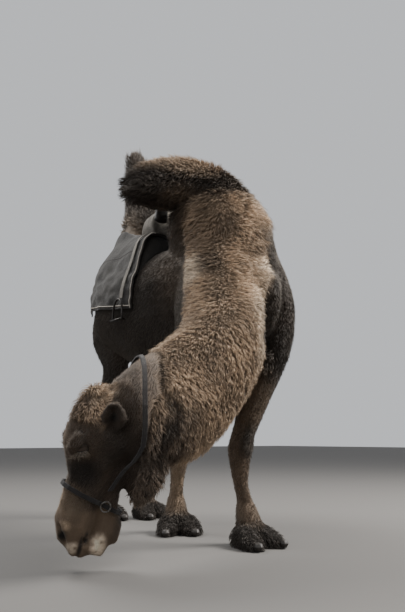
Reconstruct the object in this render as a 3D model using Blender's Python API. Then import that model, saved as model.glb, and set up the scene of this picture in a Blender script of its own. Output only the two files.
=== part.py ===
"""A life-size bactrian camel, standing with its neck swung down to its right and its muzzle near the ground.

Metres, +Z up. The camel faces -Y, its left side is +X, and its soles lie on z = 0.
The flesh is lofted in pieces, fused and smoothed into one closed body, and then parted with thin cuts.
"""

import math
from itertools import product

import bmesh
import bpy
from mathutils import Matrix, Vector
from mathutils.bvhtree import BVHTree

# ---------------------------------------------------------------- driving sizes
SECTION_SIDES = 28  # points round one ring of a loft
RINGS_PER_SPAN = 5  # rings between two stations of a loft
VOXEL = 0.008  # grain of the fused body
BODY_TRIANGLES = 2900  # faces left on the fused body
CUT = 0.0004  # width of a cut between two parts of the body
FIT = 0.0004  # clearance of an eye or a nail in its bed

BACK_HEIGHT = 1.58  # the back between the humps
CHEST_WIDTH = 0.53
BELLY_WIDTH = 0.79
RUMP_END = 0.80  # how far the rump reaches behind the middle
CHEST_END = -0.72

KNEE_HEIGHT = 0.44
HOCK_HEIGHT = 0.59
FETLOCK_HEIGHT = 0.155
FOOT_LENGTH = 0.205
TOE_WIDTH = 0.105
TOE_SPREAD = math.radians(11)

HEAD_LENGTH = 0.55
EYE_RADIUS = 0.021

# Where the middle of each pad stands, as (x, y), and the way the toes point, in degrees to the camel's left.
FOOT_SPOTS = {
    "front_left": (-0.055, -0.63, 0),
    "front_right": (-0.115, -0.10, -28),
    "hind_left": (0.120, 0.545, 4),
    "hind_right": (-0.150, 0.62, -6),
}


# ---------------------------------------------------------------- mesh helpers
def clear_scene():
    for obj in list(bpy.data.objects):
        bpy.data.objects.remove(obj)


def new_object(name, bm):
    mesh = bpy.data.meshes.new(name)
    bmesh.ops.recalc_face_normals(bm, faces=bm.faces)
    bm.to_mesh(mesh)
    bm.free()
    obj = bpy.data.objects.new(name, mesh)
    bpy.context.scene.collection.objects.link(obj)
    return obj


def catmull(a, b, c, d, t):
    """The curve through b and c, at t from 0 to 1, for numbers or vectors."""
    return 0.5 * (2 * b + (c - a) * t + (2 * a - 5 * b + 4 * c - d) * t * t + (3 * b - a - 3 * c + d) * t**3)


def along(values, spans):
    """Values at the stations, made smooth: spans points between each two of them."""
    out = []
    last = len(values) - 1
    for i in range(last):
        a, d = values[max(i - 1, 0)], values[min(i + 2, last)]
        out += [catmull(a, values[i], values[i + 1], d, k / spans) for k in range(spans)]
    return out + [values[last]]


def ring_points(centre, side, up, half_side, half_up, power, sides):
    """A super-ellipse round centre. Power 2 is an ellipse, and more is squarer."""
    points = []
    for k in range(sides):
        angle = 2 * math.pi * k / sides
        c, s = math.cos(angle), math.sin(angle)
        across = math.copysign(abs(c) ** (2 / power), c) * half_side
        rise = math.copysign(abs(s) ** (2 / power), s) * half_up
        points.append(centre + side * across + up * rise)
    return points


def loft(
    bm, stations, up_hint=(0, 0, 1), power=2.0, sides=SECTION_SIDES, spans=RINGS_PER_SPAN, caps=(0.6, 0.6)
):
    """Adds a closed tube through stations of (x, y, z, half width, half height) to bm.

    up_hint is the direction of the half height, one for all or one for each station. caps are how far the
    rounded ends reach, as a share of the end's smaller half size.
    """
    centres = along([Vector(s[:3]) for s in stations], spans)
    widths = along([s[3] for s in stations], spans)
    heights = along([s[4] for s in stations], spans)
    if isinstance(up_hint[0], (int, float)):
        up_hint = [up_hint] * len(stations)
    hints = along([Vector(h).normalized() for h in up_hint], spans)
    last = len(centres) - 1
    rings = []
    for i, centre in enumerate(centres):
        ahead = (centres[min(i + 1, last)] - centres[max(i - 1, 0)]).normalized()
        side = ahead.cross(hints[i]).normalized()
        up = side.cross(ahead)
        size = (max(widths[i], 0.004), max(heights[i], 0.004))
        if i == 0 or i == last:
            reach = min(size) * caps[0 if i == 0 else 1] * (-1 if i == 0 else 1)
            bulge = []
            for k in (1, 2, 3):
                a = math.radians(90 * k / 3.6)
                shrunk = (size[0] * math.cos(a), size[1] * math.cos(a))
                bulge.append((centre + ahead * reach * math.sin(a), side, up, *shrunk))
            own = [(centre, side, up, *size)]
            rings += bulge[::-1] + own if i == 0 else own + bulge
        else:
            rings.append((centre, side, up, *size))
    loops = [[bm.verts.new(p) for p in ring_points(*ring, power, sides)] for ring in rings]
    for one, two in zip(loops, loops[1:]):
        for k in range(sides):
            bm.faces.new((one[k], one[(k + 1) % sides], two[(k + 1) % sides], two[k]))
    bm.faces.new(loops[0][::-1])
    bm.faces.new(loops[-1])


def ellipsoid(bm, centre, sizes, turn=None, sides=20):
    """A ball of half sizes (x, y, z), turned by the matrix turn."""
    place = Matrix.Translation(Vector(centre)) @ (turn or Matrix()) @ Matrix.Diagonal((*sizes, 1))
    bmesh.ops.create_uvsphere(bm, u_segments=sides, v_segments=sides * 3 // 5, radius=1, matrix=place)


def apply_modifiers(obj):
    graph = bpy.context.evaluated_depsgraph_get()
    mesh = bpy.data.meshes.new_from_object(obj.evaluated_get(graph))
    obj.modifiers.clear()
    obj.data = mesh


# ---------------------------------------------------------------- trunk, humps, tail
def add_trunk(bm):
    chest, belly = CHEST_WIDTH / 2, BELLY_WIDTH / 2
    middle = BACK_HEIGHT - 0.36
    loft(
        bm,
        [
            (-0.03, CHEST_END + 0.02, middle - 0.05, 0.11, 0.15),
            (-0.02, -0.58, middle - 0.04, chest * 0.76, 0.275),
            (-0.01, -0.40, middle - 0.02, chest, 0.36),
            (0, -0.12, middle, belly * 0.86, 0.365),
            (0, 0.14, middle, belly * 0.97, 0.355),
            (0, 0.36, middle + 0.03, belly, 0.325),
            (0, 0.55, middle + 0.06, belly * 0.82, 0.275),
            (0, RUMP_END - 0.07, middle + 0.085, belly * 0.45, 0.185),
        ],
        power=2.15,
    )


def add_hump_front(bm):
    """The front hump rises from the withers and flops over the camel's right side."""
    loft(
        bm,
        [
            (0.01, -0.34, 1.34, 0.265, 0.35),
            (-0.01, -0.325, 1.52, 0.255, 0.355),
            (-0.04, -0.300, 1.68, 0.228, 0.295),
            (-0.07, -0.285, 1.80, 0.165, 0.235),
            (-0.15, -0.275, 1.858, 0.134, 0.185),
            (-0.28, -0.26, 1.855, 0.130, 0.165),
            (-0.415, -0.245, 1.81, 0.122, 0.145),
            (-0.515, -0.235, 1.765, 0.088, 0.115),
        ],
        up_hint=(0, 1, 0),
    )


def add_hump_rear(bm):
    """The rear hump stands upright, with its tip bent a little to the right."""
    loft(
        bm,
        [
            (0.0, 0.42, 1.32, 0.36, 0.34),
            (0.0, 0.42, 1.50, 0.325, 0.31),
            (0.0, 0.43, 1.66, 0.235, 0.25),
            (-0.02, 0.44, 1.80, 0.165, 0.19),
            (-0.03, 0.44, 1.95, 0.130, 0.155),
            (-0.05, 0.44, 2.10, 0.112, 0.13),
            (-0.095, 0.43, 2.22, 0.088, 0.10),
            (-0.145, 0.42, 2.315, 0.050, 0.06),
        ],
        up_hint=(0, 1, 0),
    )


def add_tail(bm):
    loft(
        bm,
        [
            (0, RUMP_END - 0.14, 1.40, 0.06, 0.06),
            (0, RUMP_END + 0.01, 1.34, 0.045, 0.045),
            (0.003, RUMP_END + 0.075, 1.22, 0.034, 0.034),
            (0.008, RUMP_END + 0.090, 1.08, 0.030, 0.028),
            (0.010, RUMP_END + 0.085, 0.95, 0.036, 0.030),
            (0.010, RUMP_END + 0.080, 0.84, 0.026, 0.022),
        ],
        up_hint=(0, 1, 0),
        sides=16,
    )


# ---------------------------------------------------------------- legs
def add_foot(bm, spot):
    """Two broad padded toes, spread a little, that reach below z = 0 to be cut flat there."""
    x, y, yaw = spot
    for way in (-1, 1):
        turn = math.radians(yaw) + way * TOE_SPREAD
        ahead = Vector((math.sin(turn), -math.cos(turn), 0))
        base = math.radians(yaw)
        heel = Vector((x, y, 0)) - 0.48 * FOOT_LENGTH * Vector((math.sin(base), -math.cos(base), 0))
        heel += way * TOE_WIDTH * 0.34 * Vector((math.cos(base), math.sin(base), 0))
        stations = []
        for share, lift, half, rise in (
            (0.10, 0.034, 0.40, 0.046),
            (0.32, 0.040, 0.50, 0.058),
            (0.60, 0.030, 0.54, 0.050),
            (0.80, 0.020, 0.50, 0.038),
            (0.93, 0.012, 0.34, 0.026),
        ):
            p = heel + ahead * FOOT_LENGTH * share
            stations.append((p.x, p.y, lift, TOE_WIDTH * half, rise))
        loft(bm, stations, sides=16, power=2.4, caps=(0.8, 0.7))


def add_limb(bm, joints, girths):
    """A leg through its joints. girths holds (share of the way, half width, half depth), in joints passed."""
    points = [Vector(j) for j in joints]
    stations = []
    last = len(points) - 1
    for share, width, depth in girths:
        i = min(int(share), last - 1)
        a, d = points[max(i - 1, 0)], points[min(i + 2, last)]
        p = catmull(a, points[i], points[i + 1], d, share - i)
        stations.append((*p, width, depth))
    loft(bm, stations, up_hint=(0, -1, 0), spans=4)


FRONT_GIRTHS = [
    (0.0, 0.100, 0.17),
    (0.5, 0.115, 0.18),
    (1.0, 0.112, 0.17),
    (1.5, 0.108, 0.145),
    (2.0, 0.102, 0.120),
    (2.45, 0.074, 0.086),
    (2.8, 0.060, 0.064),
    (3.0, 0.066, 0.066),
    (3.2, 0.055, 0.054),
    (3.5, 0.040, 0.043),
    (3.8, 0.040, 0.044),
    (4.0, 0.054, 0.058),
    (4.5, 0.066, 0.066),
    (5.0, 0.074, 0.062),
]
HIND_GIRTHS = [
    (0.0, 0.10, 0.19),
    (0.5, 0.125, 0.21),
    (1.0, 0.118, 0.175),
    (1.4, 0.100, 0.145),
    (2.0, 0.076, 0.100),
    (2.5, 0.056, 0.070),
    (2.85, 0.046, 0.058),
    (3.0, 0.048, 0.060),
    (3.25, 0.042, 0.048),
    (3.5, 0.037, 0.041),
    (3.8, 0.038, 0.041),
    (4.0, 0.050, 0.053),
    (4.5, 0.060, 0.060),
    (5.0, 0.070, 0.060),
]


def add_legs(bm):
    """Shoulder, point of the shoulder, elbow, knee, fetlock and foot of each leg, or the same behind."""
    lx, ly, _ = FOOT_SPOTS["front_left"]
    add_limb(
        bm,
        [
            (0.165, -0.40, 1.44),
            (0.190, -0.50, 1.16),
            (0.120, -0.555, 0.90),
            (lx - 0.01, ly + 0.085, KNEE_HEIGHT),
            (lx + 0.01, ly + 0.075, FETLOCK_HEIGHT),
            (lx, ly + 0.02, 0.055),
        ],
        FRONT_GIRTHS,
    )
    rx, ry, _ = FOOT_SPOTS["front_right"]
    add_limb(
        bm,
        [
            (-0.13, -0.34, 1.44),
            (-0.175, -0.44, 1.16),
            (-0.165, -0.33, 0.90),
            (rx - 0.005, ry - 0.02, KNEE_HEIGHT),
            (rx + 0.025, ry + 0.060, FETLOCK_HEIGHT),
            (rx + 0.005, ry + 0.02, 0.055),
        ],
        FRONT_GIRTHS,
    )
    for side, foot, lean in ((1, "hind_left", -0.05), (-1, "hind_right", 0.06)):
        x, y, _ = FOOT_SPOTS[foot]
        add_limb(
            bm,
            [
                (side * 0.15, 0.48, 1.38),
                (side * 0.195, 0.47 + lean, 1.12),
                (side * 0.180, 0.45 + lean, 0.90),
                (x * 1.10, y + 0.10, HOCK_HEIGHT),
                (x, y + 0.065, FETLOCK_HEIGHT),
                (x, y + 0.02, 0.055),
            ],
            HIND_GIRTHS,
        )
    for spot in FOOT_SPOTS.values():
        add_foot(bm, spot)


# ---------------------------------------------------------------- neck
NECK_PATH = [
    # x, y, z, half width, half depth, and the direction of the crest
    (-0.06, -0.36, 1.44, 0.20, 0.25, (0.0, -0.75, 0.65)),
    (-0.15, -0.49, 1.16, 0.22, 0.26, (-0.1, -0.9, 0.3)),
    (-0.265, -0.625, 0.880, 0.215, 0.265, (-0.3, -0.7, 0.6)),
    (-0.470, -0.665, 0.665, 0.20, 0.270, (-0.3, -0.4, 0.85)),
    (-0.69, -0.735, 0.585, 0.165, 0.22, (-0.1, -0.1, 1.0)),
    (-0.82, -0.775, 0.555, 0.120, 0.165, (-0.3, 0.0, 1.0)),
]


def add_neck(bm):
    loft(bm, [n[:5] for n in NECK_PATH], up_hint=[n[5] for n in NECK_PATH])
    # The beard that hangs from the throat, and the mane under the bend of the neck.
    loft(
        bm,
        [
            (-0.695, -0.745, 0.46, 0.092, 0.10),
            (-0.715, -0.735, 0.36, 0.086, 0.088),
            (-0.736, -0.730, 0.29, 0.070, 0.066),
            (-0.752, -0.726, 0.252, 0.040, 0.032),
        ],
        up_hint=(0, 1, 0),
        sides=16,
    )


# ---------------------------------------------------------------- head
# The head is modelled along +X from the poll to the lips, with +Z towards the forehead and +Y its left,
# and then set at the end of the neck.
HEAD_AT = Vector((-0.904, -0.725, 0.619))
HEAD_AIM = Vector((-0.088, 0.191, -0.975))
HEAD_CROWN = Vector((-0.956, 0.294, 0.0))


def head_frame():
    ahead = HEAD_AIM.normalized()
    left = HEAD_CROWN.cross(ahead).normalized()
    crown = ahead.cross(left)
    turn = Matrix((ahead, left, crown)).transposed().to_4x4()
    return Matrix.Translation(HEAD_AT) @ turn


def add_head(bm):
    k = HEAD_LENGTH / 0.565  # the numbers below are for a head this long
    place = head_frame() @ Matrix.Scale(k, 4)
    head = bmesh.new()
    # Skull and face: x, y, z of the middle, half width, half height.
    loft(
        head,
        [
            (-0.02, 0, -0.030, 0.075, 0.095),
            (0.06, 0, -0.008, 0.098, 0.116),
            (0.14, 0, 0.005, 0.100, 0.120),
            (0.21, 0, -0.002, 0.086, 0.108),
            (0.29, 0, -0.006, 0.068, 0.088),
            (0.37, 0, 0.006, 0.062, 0.078),
            (0.44, 0, 0.016, 0.066, 0.078),
            (0.50, 0, 0.010, 0.062, 0.070),
            (0.535, 0, -0.004, 0.048, 0.050),
        ],
        power=2.2,
    )
    # Lower jaw, from its angle to the chin, with the lower lip.
    loft(
        head,
        [
            (0.05, 0, -0.100, 0.068, 0.062),
            (0.14, 0, -0.108, 0.064, 0.056),
            (0.25, 0, -0.104, 0.050, 0.042),
            (0.36, 0, -0.100, 0.044, 0.038),
            (0.46, 0, -0.106, 0.046, 0.042),
            (0.560, 0, -0.084, 0.045, 0.040),
        ],
    )
    ellipsoid(head, (0.480, 0, -0.133), (0.063, 0.045, 0.043))
    for side in (-1, 1):
        # Brow, cheek, nostril and the two halves of the upper lip.
        ellipsoid(head, (0.165, side * 0.084, 0.084), (0.052, 0.036, 0.036))
        ellipsoid(head, (0.13, side * 0.068, -0.055), (0.085, 0.034, 0.070))
        ellipsoid(head, (0.475, side * 0.040, 0.048), (0.048, 0.028, 0.036))
        ellipsoid(head, (0.542, side * 0.027, -0.016), (0.045, 0.034, 0.052))
    # The topknot on the poll.
    ellipsoid(head, (0.000, 0, 0.045), (0.065, 0.068, 0.045))
    bmesh.ops.transform(head, matrix=place, verts=head.verts)
    mesh = bpy.data.meshes.new("head_form")
    head.to_mesh(mesh)
    head.free()
    bm.from_mesh(mesh)


EAR_ROOT = (0.082, 0.084, -0.034)
EAR_MIDDLE = (0.042, 0.124, -0.026)
EAR_TIP = (-0.004, 0.146, -0.012)


def make_ear(side, head):
    """A short furry ear behind the brow, cupped outwards, with its tip towards the poll."""
    place = head_frame()
    root, middle, tip = (place @ Vector((e[0], side * e[1], e[2])) for e in (EAR_ROOT, EAR_MIDDLE, EAR_TIP))
    facing = place.to_3x3() @ Vector((0.35, side * 0.90, 0.25))
    bm = bmesh.new()
    loft(
        bm,
        [(*root, 0.030, 0.026), (*middle, 0.052, 0.023), (*tip, 0.026, 0.013)],
        up_hint=tuple(facing),
        sides=8,
        spans=2,
    )
    ear = new_object("ear_left" if side > 0 else "ear_right", bm)
    carve(ear, grown(head, FIT))
    return ear


# ---------------------------------------------------------------- the whole body
def fuse(bm):
    """One smooth closed body from the overlapping lofts, thinned to few faces."""
    body = new_object("camel", bm)
    remesh = body.modifiers.new("fuse", "REMESH")
    remesh.mode = "VOXEL"
    remesh.voxel_size = VOXEL
    smooth = body.modifiers.new("smooth", "SMOOTH")
    smooth.factor = 0.5
    smooth.iterations = 6
    apply_modifiers(body)
    thin = body.modifiers.new("thin", "DECIMATE")
    thin.ratio = BODY_TRIANGLES / (2 * len(body.data.polygons))
    thin.use_collapse_triangulate = True
    apply_modifiers(body)
    return body


def whole_body():
    bm = bmesh.new()
    add_trunk(bm)
    add_hump_front(bm)
    add_hump_rear(bm)
    add_tail(bm)
    add_legs(bm)
    add_neck(bm)
    add_head(bm)
    return fuse(bm)


# ---------------------------------------------------------------- parting the body
def box_mesh(bm, centre, ahead, hint, sizes):
    """A box of full sizes (along ahead, along hint, across both)."""
    x = Vector(ahead).normalized()
    z = x.cross(Vector(hint)).normalized()
    y = z.cross(x)
    turn = Matrix((x, y, z)).transposed().to_4x4()
    place = Matrix.Translation(Vector(centre)) @ turn @ Matrix.Diagonal((*sizes, 1))
    bmesh.ops.create_cube(bm, size=1, matrix=place)


def carve(obj, cutter, keep_cutter=False):
    """Takes cutter away from obj."""
    mod = obj.modifiers.new("carve", "BOOLEAN")
    mod.operation = "DIFFERENCE"
    mod.solver = "EXACT"
    mod.object = cutter
    bpy.context.view_layer.update()
    apply_modifiers(obj)
    if not keep_cutter:
        bpy.data.objects.remove(cutter)


def cut_planes():
    """(centre, normal, width, depth) of every thin cut across the body."""
    head = head_frame()
    turn = head.to_3x3()
    planes = [
        ((0.0, -0.32, 1.60), (0, 0, 1), 0.80, 1.00),
        ((0.0, 0.43, 1.62), (0, 0, 1), 0.80, 0.70),
        ((-0.375, -0.650, 0.79), (-0.62, -0.20, -0.76), 0.60, 0.60),
        ((-0.545, -0.700, 0.62), (-0.90, -0.10, -0.40), 0.56, 0.60),
        (head @ Vector((0.10, 0, -0.176)), turn @ Vector((-0.03, 0, 1)), 0.78, 0.60),
        (head @ Vector((0.395, 0, -0.03)), turn @ Vector((1, 0, -0.12)), 0.34, 0.32),
        ((0.005, RUMP_END + 0.085, 1.15), (0, 0, 1), 0.12, 0.12),
    ]
    tops = {
        "front_left": (0.060, -0.56, 0.80),
        "front_right": (-0.145, -0.25, 0.70),
        "hind_left": (0.165, 0.47, 0.80),
        "hind_right": (-0.175, 0.58, 0.80),
    }
    for name, (x, y, _) in FOOT_SPOTS.items():
        middle = {"front_left": (x, y + 0.085), "front_right": (x, y - 0.01)}.get(name, (x * 1.08, y + 0.10))
        joint = KNEE_HEIGHT if name.startswith("front") else HOCK_HEIGHT
        planes.append((tops[name], (0, 0, 1), 0.30, 0.34))
        planes.append(((*middle, joint), (0, 0, 1), 0.22, 0.24))
        planes.append(((x, y + 0.055, FETLOCK_HEIGHT - 0.045), (0, 0, 1), 0.22, 0.22))
    return planes


def part_body(body):
    """Cuts the body flat at z = 0 and into its parts, and returns the loose pieces."""
    bm = bmesh.new()
    box_mesh(bm, (0, 0, -0.5), (0, 0, 1), (0, 1, 0), (1.0, 4, 4))
    carve(body, new_object("below_floor", bm))
    for centre, normal, width, depth in cut_planes():
        hint = (0, 1, 0) if abs(Vector(normal).normalized().y) < 0.9 else (1, 0, 0)
        bm = bmesh.new()
        box_mesh(bm, centre, normal, hint, (CUT, depth, width))
        carve(body, new_object("thin_cut", bm))
    return split_loose(body)


def split_loose(obj):
    """One object for every loose piece of obj."""
    bm = bmesh.new()
    bm.from_mesh(obj.data)
    bm.verts.ensure_lookup_table()
    seen = set()
    pieces = []
    for start in bm.verts:
        if start in seen:
            continue
        island = {start}
        queue = [start]
        while queue:
            vert = queue.pop()
            for edge in vert.link_edges:
                other = edge.other_vert(vert)
                if other not in island:
                    island.add(other)
                    queue.append(other)
        seen |= island
        piece = bmesh.new()
        twin = {v: piece.verts.new(v.co) for v in island}
        for face in {f for v in island for f in v.link_faces}:
            piece.faces.new([twin[v] for v in face.verts])
        pieces.append(new_object(f"piece_{len(pieces)}", piece))
    bm.free()
    bpy.data.objects.remove(obj)
    return pieces


def body_anchors():
    """A point near the middle of each part of the body, to tell the loose pieces apart."""
    head = head_frame()
    anchors = {
        "trunk": (0, 0.05, 1.22),
        "hump_front": (-0.15, -0.29, 1.80),
        "hump_rear": (-0.02, 0.43, 1.90),
        "neck_lower": (-0.46, -0.66, 0.70),
        "neck_upper": (-0.67, -0.73, 0.54),
        "head": head @ Vector((0.16, 0, -0.02)),
        "muzzle": head @ Vector((0.48, 0, -0.02)),
        "tail": (0.01, RUMP_END + 0.085, 0.98),
    }
    upper = {
        "front_left": (0.0, -0.56),
        "front_right": (-0.13, -0.17),
        "hind_left": (0.15, 0.54),
        "hind_right": (-0.17, 0.65),
    }
    for name, (x, y, _) in FOOT_SPOTS.items():
        anchors[f"leg_{name}_upper"] = (*upper[name], 0.64)
        anchors[f"leg_{name}_lower"] = (x, y + 0.07, 0.28)
        anchors[f"foot_{name}"] = (x, y, 0.05)
    return {name: Vector(spot) for name, spot in anchors.items()}


def name_pieces(pieces):
    """Gives each loose piece the name of the nearest free anchor, and drops the chips."""
    anchors = body_anchors()
    pairs = []
    for obj in pieces:
        low = Vector([min(v.co[i] for v in obj.data.vertices) for i in range(3)])
        high = Vector([max(v.co[i] for v in obj.data.vertices) for i in range(3)])
        if (high - low).length < 0.10:
            bpy.data.objects.remove(obj)
            continue
        pairs += [((spot - (low + high) / 2).length, name, obj) for name, spot in anchors.items()]
    parts = {}
    for _, name, obj in sorted(pairs, key=lambda p: p[0]):
        if name not in parts and obj not in parts.values():
            parts[name] = obj
            obj.name = name
    print("parts without a piece:", sorted(set(anchors) - set(parts)))
    return parts


def grown(obj, by):
    """A copy of obj with its surface moved out by a small distance."""
    bm = bmesh.new()
    bm.from_mesh(obj.data)
    bm.normal_update()
    moved = [v.co + v.normal * by for v in bm.verts]
    for vert, spot in zip(bm.verts, moved):
        vert.co = spot
    return new_object(obj.name + "_grown", bm)


# ---------------------------------------------------------------- eyes and nails
EYE_SPOT = (0.178, 0.086, 0.058)


def make_eye(side, head):
    """An eyeball in its socket, most of it inside the head."""
    bm = bmesh.new()
    spot = head_frame() @ Vector((EYE_SPOT[0], side * EYE_SPOT[1], EYE_SPOT[2]))
    place = Matrix.Translation(spot)
    bmesh.ops.create_uvsphere(bm, u_segments=12, v_segments=8, radius=EYE_RADIUS, matrix=place)
    eye = new_object("eye_left" if side > 0 else "eye_right", bm)
    carve(head, grown(eye, FIT))
    return eye


def make_nails(foot_name, foot):
    """Two short nails on the front of the toes, each seated in its toe."""
    x, y, yaw = FOOT_SPOTS[foot_name]
    for way, label in ((-1, "right"), (1, "left")):
        turn = math.radians(yaw) + way * TOE_SPREAD
        ahead = Vector((math.sin(turn), -math.cos(turn), 0))
        base = math.radians(yaw)
        heel = Vector((x, y, 0)) - 0.48 * FOOT_LENGTH * Vector((math.sin(base), -math.cos(base), 0))
        heel += way * TOE_WIDTH * 0.34 * Vector((math.cos(base), math.sin(base), 0))
        tip = heel + ahead * FOOT_LENGTH * 0.995
        bm = bmesh.new()
        spin = Matrix.Rotation(turn, 4, "Z")
        ellipsoid(bm, (tip.x, tip.y, 0.022), (0.021, 0.026, 0.018), spin, sides=8)
        nail = new_object(f"nail_{foot_name}_{label}", bm)
        carve(nail, grown(foot, FIT))
        keep_largest(nail)


def keep_largest(obj):
    """Drops all loose pieces of obj but the one with the most points."""
    name = obj.name
    pieces = split_loose(obj)
    pieces.sort(key=lambda o: -len(o.data.vertices))
    for extra in pieces[1:]:
        bpy.data.objects.remove(extra)
    pieces[0].name = name
    return pieces[0]


# ---------------------------------------------------------------- saddle cloth and seat
AXIS_HEIGHT = 1.20  # rays to the flanks start from this height
CLOTH_FRONT = 0.0
CLOTH_STEP = 0.045  # the middle panel is four of these long
CLOTH_BACK = 0.63
CLOTH_GAP = 0.008
CLOTH_THICK = 0.014
PAD_THICK = 0.105  # the stuffing under the cloth, on both sides of the spine
BETWEEN = (0.0, 0.25, 0.5, 0.75, 1.0)  # where the cloth is tried against the body, from knot to knot
COLLAR = math.radians(16)  # the cloth stops this far from the top beside the rear hump
SEAT_TOP = 1.855
SEAT_FALL = 1.45  # how fast the seat falls to its sides, in metres for each square metre
SEAT_REACH = math.radians(26)
STIRRUP_WIDTH = 0.122
STIRRUP_HEIGHT = 0.125


def hem_angle(y):
    """How far round the flank the cloth hangs, rising a little towards the tail."""
    return math.radians(94 - 11 * (y - CLOTH_FRONT) / (CLOTH_BACK - CLOTH_FRONT))


def flank_point(tree, y, angle):
    """Where the outside is, at this place along the body and this angle from the top, and the way out."""
    out = Vector((-math.sin(angle), 0, math.cos(angle)))
    start = Vector((0, y, AXIS_HEIGHT))
    return tree.ray_cast(start + out * 2.0, -out)[0], out


def flank_reach(tree, y, angle):
    return (flank_point(tree, y, angle)[0] - Vector((0, y, AXIS_HEIGHT))).length


def blend(a, b, t):
    return a + (b - a) * t


def cloth_thickness(y, angle):
    pad = math.exp(-(((abs(angle) - math.radians(29)) / math.radians(17)) ** 2))
    pad *= math.exp(-(((y - 0.07) / 0.19) ** 4))
    return CLOTH_THICK + PAD_THICK * pad


def shell(name, rows, lifts, closed=False):
    """A closed shell over rows of (point, way out), from the first to the second of the lifts of each point.

    With closed, the last row joins the first one, as in a band round the muzzle.
    """
    bm = bmesh.new()
    inner, outer = [], []
    for row, lift in zip(rows, lifts):
        inner.append([bm.verts.new(p + d * low) for (p, d), (low, _) in zip(row, lift)])
        outer.append([bm.verts.new(p + d * high) for (p, d), (_, high) in zip(row, lift)])
    n, m = len(rows), len(rows[0])
    for i in range(n if closed else n - 1):
        k = (i + 1) % n
        for j in range(m - 1):
            bm.faces.new((outer[i][j], outer[k][j], outer[k][j + 1], outer[i][j + 1]))
            bm.faces.new((inner[i][j], inner[i][j + 1], inner[k][j + 1], inner[k][j]))
        for j in (0, m - 1):
            bm.faces.new((inner[i][j], inner[k][j], outer[k][j], outer[i][j]))
    if not closed:
        for j in range(m - 1):
            for i in (0, n - 1):
                bm.faces.new((inner[i][j], inner[i][j + 1], outer[i][j + 1], outer[i][j]))
    return new_object(name, bm)


def surface_tree(obj):
    bm = bmesh.new()
    bm.from_mesh(obj.data)
    tree = BVHTree.FromBMesh(bm)
    bm.free()
    return tree


def clearing_reach(tree, ys, angles):
    """How far from the axis the knots of a net have to be, for the flats between them to clear as well."""
    columns = len(angles[0])
    reach = [[flank_reach(tree, y, a) for a in row] for y, row in zip(ys, angles)]
    raised = [[0.0] * columns for _ in ys]
    for i in range(len(ys) - 1):
        for j in range(columns - 1):
            over = 0.0
            for u, v in product(BETWEEN, BETWEEN):
                y = blend(ys[i], ys[i + 1], u)
                a, flat = (
                    blend(blend(g[i][j], g[i][j + 1], v), blend(g[i + 1][j], g[i + 1][j + 1], v), u)
                    for g in (angles, reach)
                )
                over = max(over, flank_reach(tree, y, a) - flat)
            for ii, jj in product((i, i + 1), (j, j + 1)):
                raised[ii][jj] = max(raised[ii][jj], over)
    return [[r + up for r, up in zip(*pair)] for pair in zip(reach, raised)]


def net(name, ys, angles, low, high):
    """A closed shell round the body's axis, from the low to the high distance at each knot."""
    rows, lifts = [], []
    for y, row, *both in zip(ys, angles, low, high):
        outs = [Vector((-math.sin(a), 0, math.cos(a))) for a in row]
        rows.append([(Vector((0, y, AXIS_HEIGHT)), out) for out in outs])
        lifts.append(list(zip(*both)))
    return shell(name, rows, lifts)


def cloth_panel(name, tree, ys, angle_of, columns):
    angles = []
    for y in ys:
        first, last = angle_of(y)
        angles.append([blend(first, last, k / (columns - 1)) for k in range(columns)])
    low = [[r + CLOTH_GAP for r in row] for row in clearing_reach(tree, ys, angles)]
    high = []
    for y, row, lows in zip(ys, angles, low):
        high.append([r + cloth_thickness(y, a) for r, a in zip(lows, row)])
    return net(name, ys, angles, low, high)


def domed(angle):
    """How far above the axis the seat is at this angle: its top, less SEAT_FALL times its square reach."""
    slope = SEAT_FALL * math.tan(angle) ** 2
    rise = SEAT_TOP - AXIS_HEIGHT
    return rise if slope < 1e-9 else (math.sqrt(1 + 4 * slope * rise) - 1) / (2 * slope)


def make_seat(cloth_tree):
    ys = (0.014, 0.020, 0.090, 0.160, 0.166)
    angles = [[SEAT_REACH * (k - 5) / 5 for k in range(11)] for _ in ys]
    low = [[r + CLOTH_GAP for r in row] for row in clearing_reach(cloth_tree, ys, angles)]
    high = []
    for i, row in enumerate(angles):
        end = 0.012 if i in (0, 4) else 0.0
        rims = [end + (0.018 if k in (0, 10) else 0.0) for k in range(11)]
        high.append([(domed(a) - rim) / math.cos(a) for rim, a in zip(rims, row)])
    return net("saddle_seat", ys, angles, low, high)


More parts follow.
